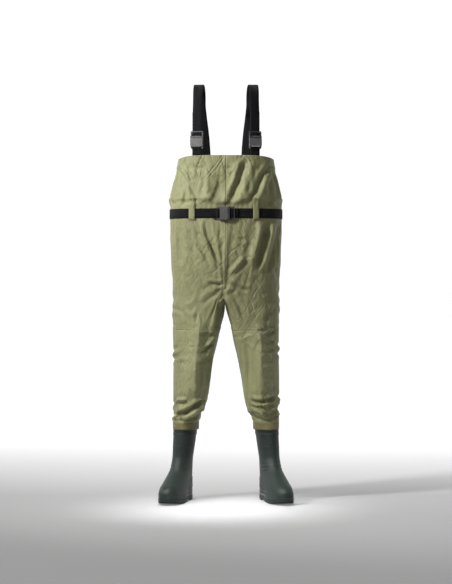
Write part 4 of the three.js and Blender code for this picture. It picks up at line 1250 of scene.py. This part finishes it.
def place_boot(x, y, height, sign):
    """A place in the boot's own outline, in the frame, with the toe's spring."""
    height = height + 0.012 * smooth_step(-y, 0.13, 0.25) * smooth_step(0.12 - height, 0, 0.1)
    lean = np.clip((height - ANKLE) / (BOOT_TOP - ANKLE), 0, 1)
    turned_x = x * math.cos(TOE_OUT) - y * math.sin(TOE_OUT)
    turned_y = x * math.sin(TOE_OUT) + y * math.cos(TOE_OUT)
    return np.stack([sign * (turned_x + 0.173 - 0.013 * lean), turned_y + 0.020 + MIDDLE, height], axis=-1)


def boot_relief(height, along):
    """Moulded details of the boot, as distances out of its plain shape."""
    toe_side = smooth_step(-along, 0.2, 0.7)
    heel_side = smooth_step(along, 0.1, 0.5)
    # the stiffened top, its lower edge, the band across the shin and the rib down it
    lift = 0.0013 * band(height, 0.264, 0.40, 0.0015) + 0.0014 * band(height, 0.2625, 0.2665, 0.001)
    lift = lift + 0.0012 * toe_side * band(height, 0.214, 0.218, 0.0012)
    lift = lift + 0.0016 * smooth_step(-along, 0.9, 0.99) * band(height, 0.125, 0.262, 0.006)
    # the creases over the instep
    for crease, depth in ((0.142, 0.0010), (0.128, 0.0016), (0.116, 0.0014)):
        gap = height - crease - 0.012 * np.abs(along)
        lift = lift - depth * smooth_step(-along, -0.3, 0.3) * np.exp(-(gap / 0.0028) ** 2)
    # the heel counter, the foxing round the foot, the toe cap and the line round the foxing
    lift = lift + 0.0022 * heel_side * band(height, 0.048, 0.092, 0.0015)
    lift = lift + 0.0020 * band(height, 0.0, 0.043, 0.0012)
    lift = lift + 0.0012 * smooth_step(-along, 0.72, 0.78) * band(height, 0.043, 0.075, 0.0015)
    return lift - 0.0008 * np.exp(-((height - 0.033) / 0.0012) ** 2)


def outward_facing(piece):
    cloth = bmesh.new()
    cloth.from_mesh(piece.data)
    bmesh.ops.recalc_face_normals(cloth, faces=cloth.faces)
    cloth.to_mesh(piece.data)
    cloth.free()
    return piece


def ring_loft(name, rings, material):
    """A skin through rings of points, closed with a face at each end."""
    around = len(rings[0])
    points = [point for ring in rings for point in ring]
    faces = ring_faces(around, len(rings)) + end_faces(around, len(rings))
    return outward_facing(mesh_object(name, points, faces, material))


BOOT_WALL = 0.003
# growth out of the boot's outline, and height, down the edge of the sole
SOLE_EDGE = [
    (0.0012, SOLE_TOP), (0.0030, SOLE_TOP - 0.0006), (0.0036, 0.0185), (0.0036, 0.0125), (0.0028, 0.0120),
    (0.0028, 0.0112), (0.0036, 0.0107), (0.0034, 0.0060), (0.0024, 0.0052),
]
# where each cleat starts, from the ankle towards the heel, and its length
CLEATS = [(-0.212 + 0.019 * step, 0.012) for step in range(9)]
CLEATS += [(0.004 + 0.0165 * step, 0.0115) for step in range(4)]
# height and share of the cleat's full outline
CLEAT_PROFILE = [(0.0056, 1.0), (0.0008, 0.96), (0.0, 0.94)]


def rubber_boot(side, sign):
    """The boot's upper, outside and in."""
    rings = []
    for height in np.concatenate([np.linspace(SOLE_TOP, 0.05, 22), np.linspace(0.0515, BOOT_TOP - 0.0005, 150)]):
        along = boot_ring(height)[-1]
        rings.append(grown_ring(height, boot_relief(height, along), height, sign))
    for height in np.linspace(BOOT_TOP - 0.0005, SOLE_TOP + 0.006, 40):
        rings.append(grown_ring(height, -BOOT_WALL, height, sign))
    boot = ring_loft(f"rubber_boot_{side}", rings, upper_rubber)
    piece_for(boot, f"shin_{side}", "boot_rubber", f"boot_upper_{side}")


def cleat_outline(start, depth):
    """A bar across the sole, as wide as the sole is there."""
    x, y, out_x, out_y, _ = boot_ring(SOLE_TOP)
    edge = list(zip(x + out_x * 0.0015, y + out_y * 0.0015))
    rows = np.linspace(start, start + depth, 4)
    right = [(max((a for a, b in edge if abs(b - row) < 0.006), default=0.02), row) for row in rows]
    left = [(min((a for a, b in edge if abs(b - row) < 0.006), default=-0.02), row) for row in rows[::-1]]
    return right + left


def sole(side, sign):
    """The sole and its cleats."""
    rings = [grown_ring(SOLE_TOP, growth, height, sign) for growth, height in SOLE_EDGE]
    body = ring_loft(f"sole_body_{side}", rings, tread_rubber)
    points, faces = [], []
    for start, depth in CLEATS:
        outline = cleat_outline(start, depth)
        around = len(outline)
        first, last = len(points), len(points) + (len(CLEAT_PROFILE) - 1) * around
        middle_row = start + depth / 2
        for height, share in CLEAT_PROFILE:
            points += [place_boot(a * share, middle_row + (b - middle_row) * share, height, sign) for a, b in outline]
        faces += ring_faces(around, len(CLEAT_PROFILE), first)
        faces.append(tuple(range(last + around - 1, last - 1, -1)))
        faces.append(tuple(range(first, first + around)))
    cleats = outward_facing(mesh_object(f"sole_cleats_{side}", points, faces, tread_rubber, smooth=False))
    piece_for(body, f"shin_{side}", "sole_rubber", f"outsole_{side}")
    piece_for(cleats, f"shin_{side}", "sole_rubber")


for side, sign in SIDES.items():
    rubber_boot(side, sign)
    sole(side, sign)

bpy.data.objects.remove(garment)

# ---------------------------------------------------------------- carried-over pieces

CARRIED = {"insole": felt, "socket": socket_plastic, "clip": clip_plastic, "prong": clip_plastic}
for name, node in frame["nodes"].items():
    for part, material in CARRIED.items():
        if part in name:
            node.data.materials.clear()
            node.data.materials.append(material)
            node.data.shade_smooth()
            rounding = node.modifiers.new("rounded_edges", "BEVEL")
            rounding.width = 0.0007
            rounding.segments = 3
            rounding.limit_method = "ANGLE"
            rounding.angle_limit = math.radians(35)
            rounding.harden_normals = True

# ---------------------------------------------------------------- studio


def studio_cove(radius=9.0, curve=2.0, top=9.0, sides=64):
    """A round pale floor that curves up into a wall and glows with painted light, brighter behind the waders than in
    front.
    """
    profile = [(0.5, 0.0), (radius - curve, 0.0)]
    for turn in np.linspace(0.1, math.pi / 2, 12):
        profile.append((radius - curve + curve * math.sin(turn), curve - curve * math.cos(turn)))
    profile.append((radius, top))
    angles = np.arange(sides) * 2 * math.pi / sides
    points = [(r * math.cos(angle), r * math.sin(angle), z) for r, z in profile for angle in angles]
    points.append((0, 0, 0))
    faces = [(len(points) - 1, i, (i + 1) % sides) for i in range(sides)]
    faces += [face[::-1] for face in ring_faces(sides, len(profile))]
    cove = mesh_object("studio_cove", points, faces, None)
    # painted light: the cove glows, dim in front of the waders and bright behind them
    paint = Paint("pale_cove", (0.4, 0.4, 0.4), 0.85, {"Emission Strength": 1.0})
    far = paint.y.ramp(0.2, 2.7)
    paint.feed("Emission Color", paint.blend(far, (0.18, 0.18, 0.18, 1), (0.80, 0.80, 0.80, 1)))
    paint.relief(paint.grain(40, 3), 0.0004)
    cove.data.materials.append(paint.material)


studio_cove()
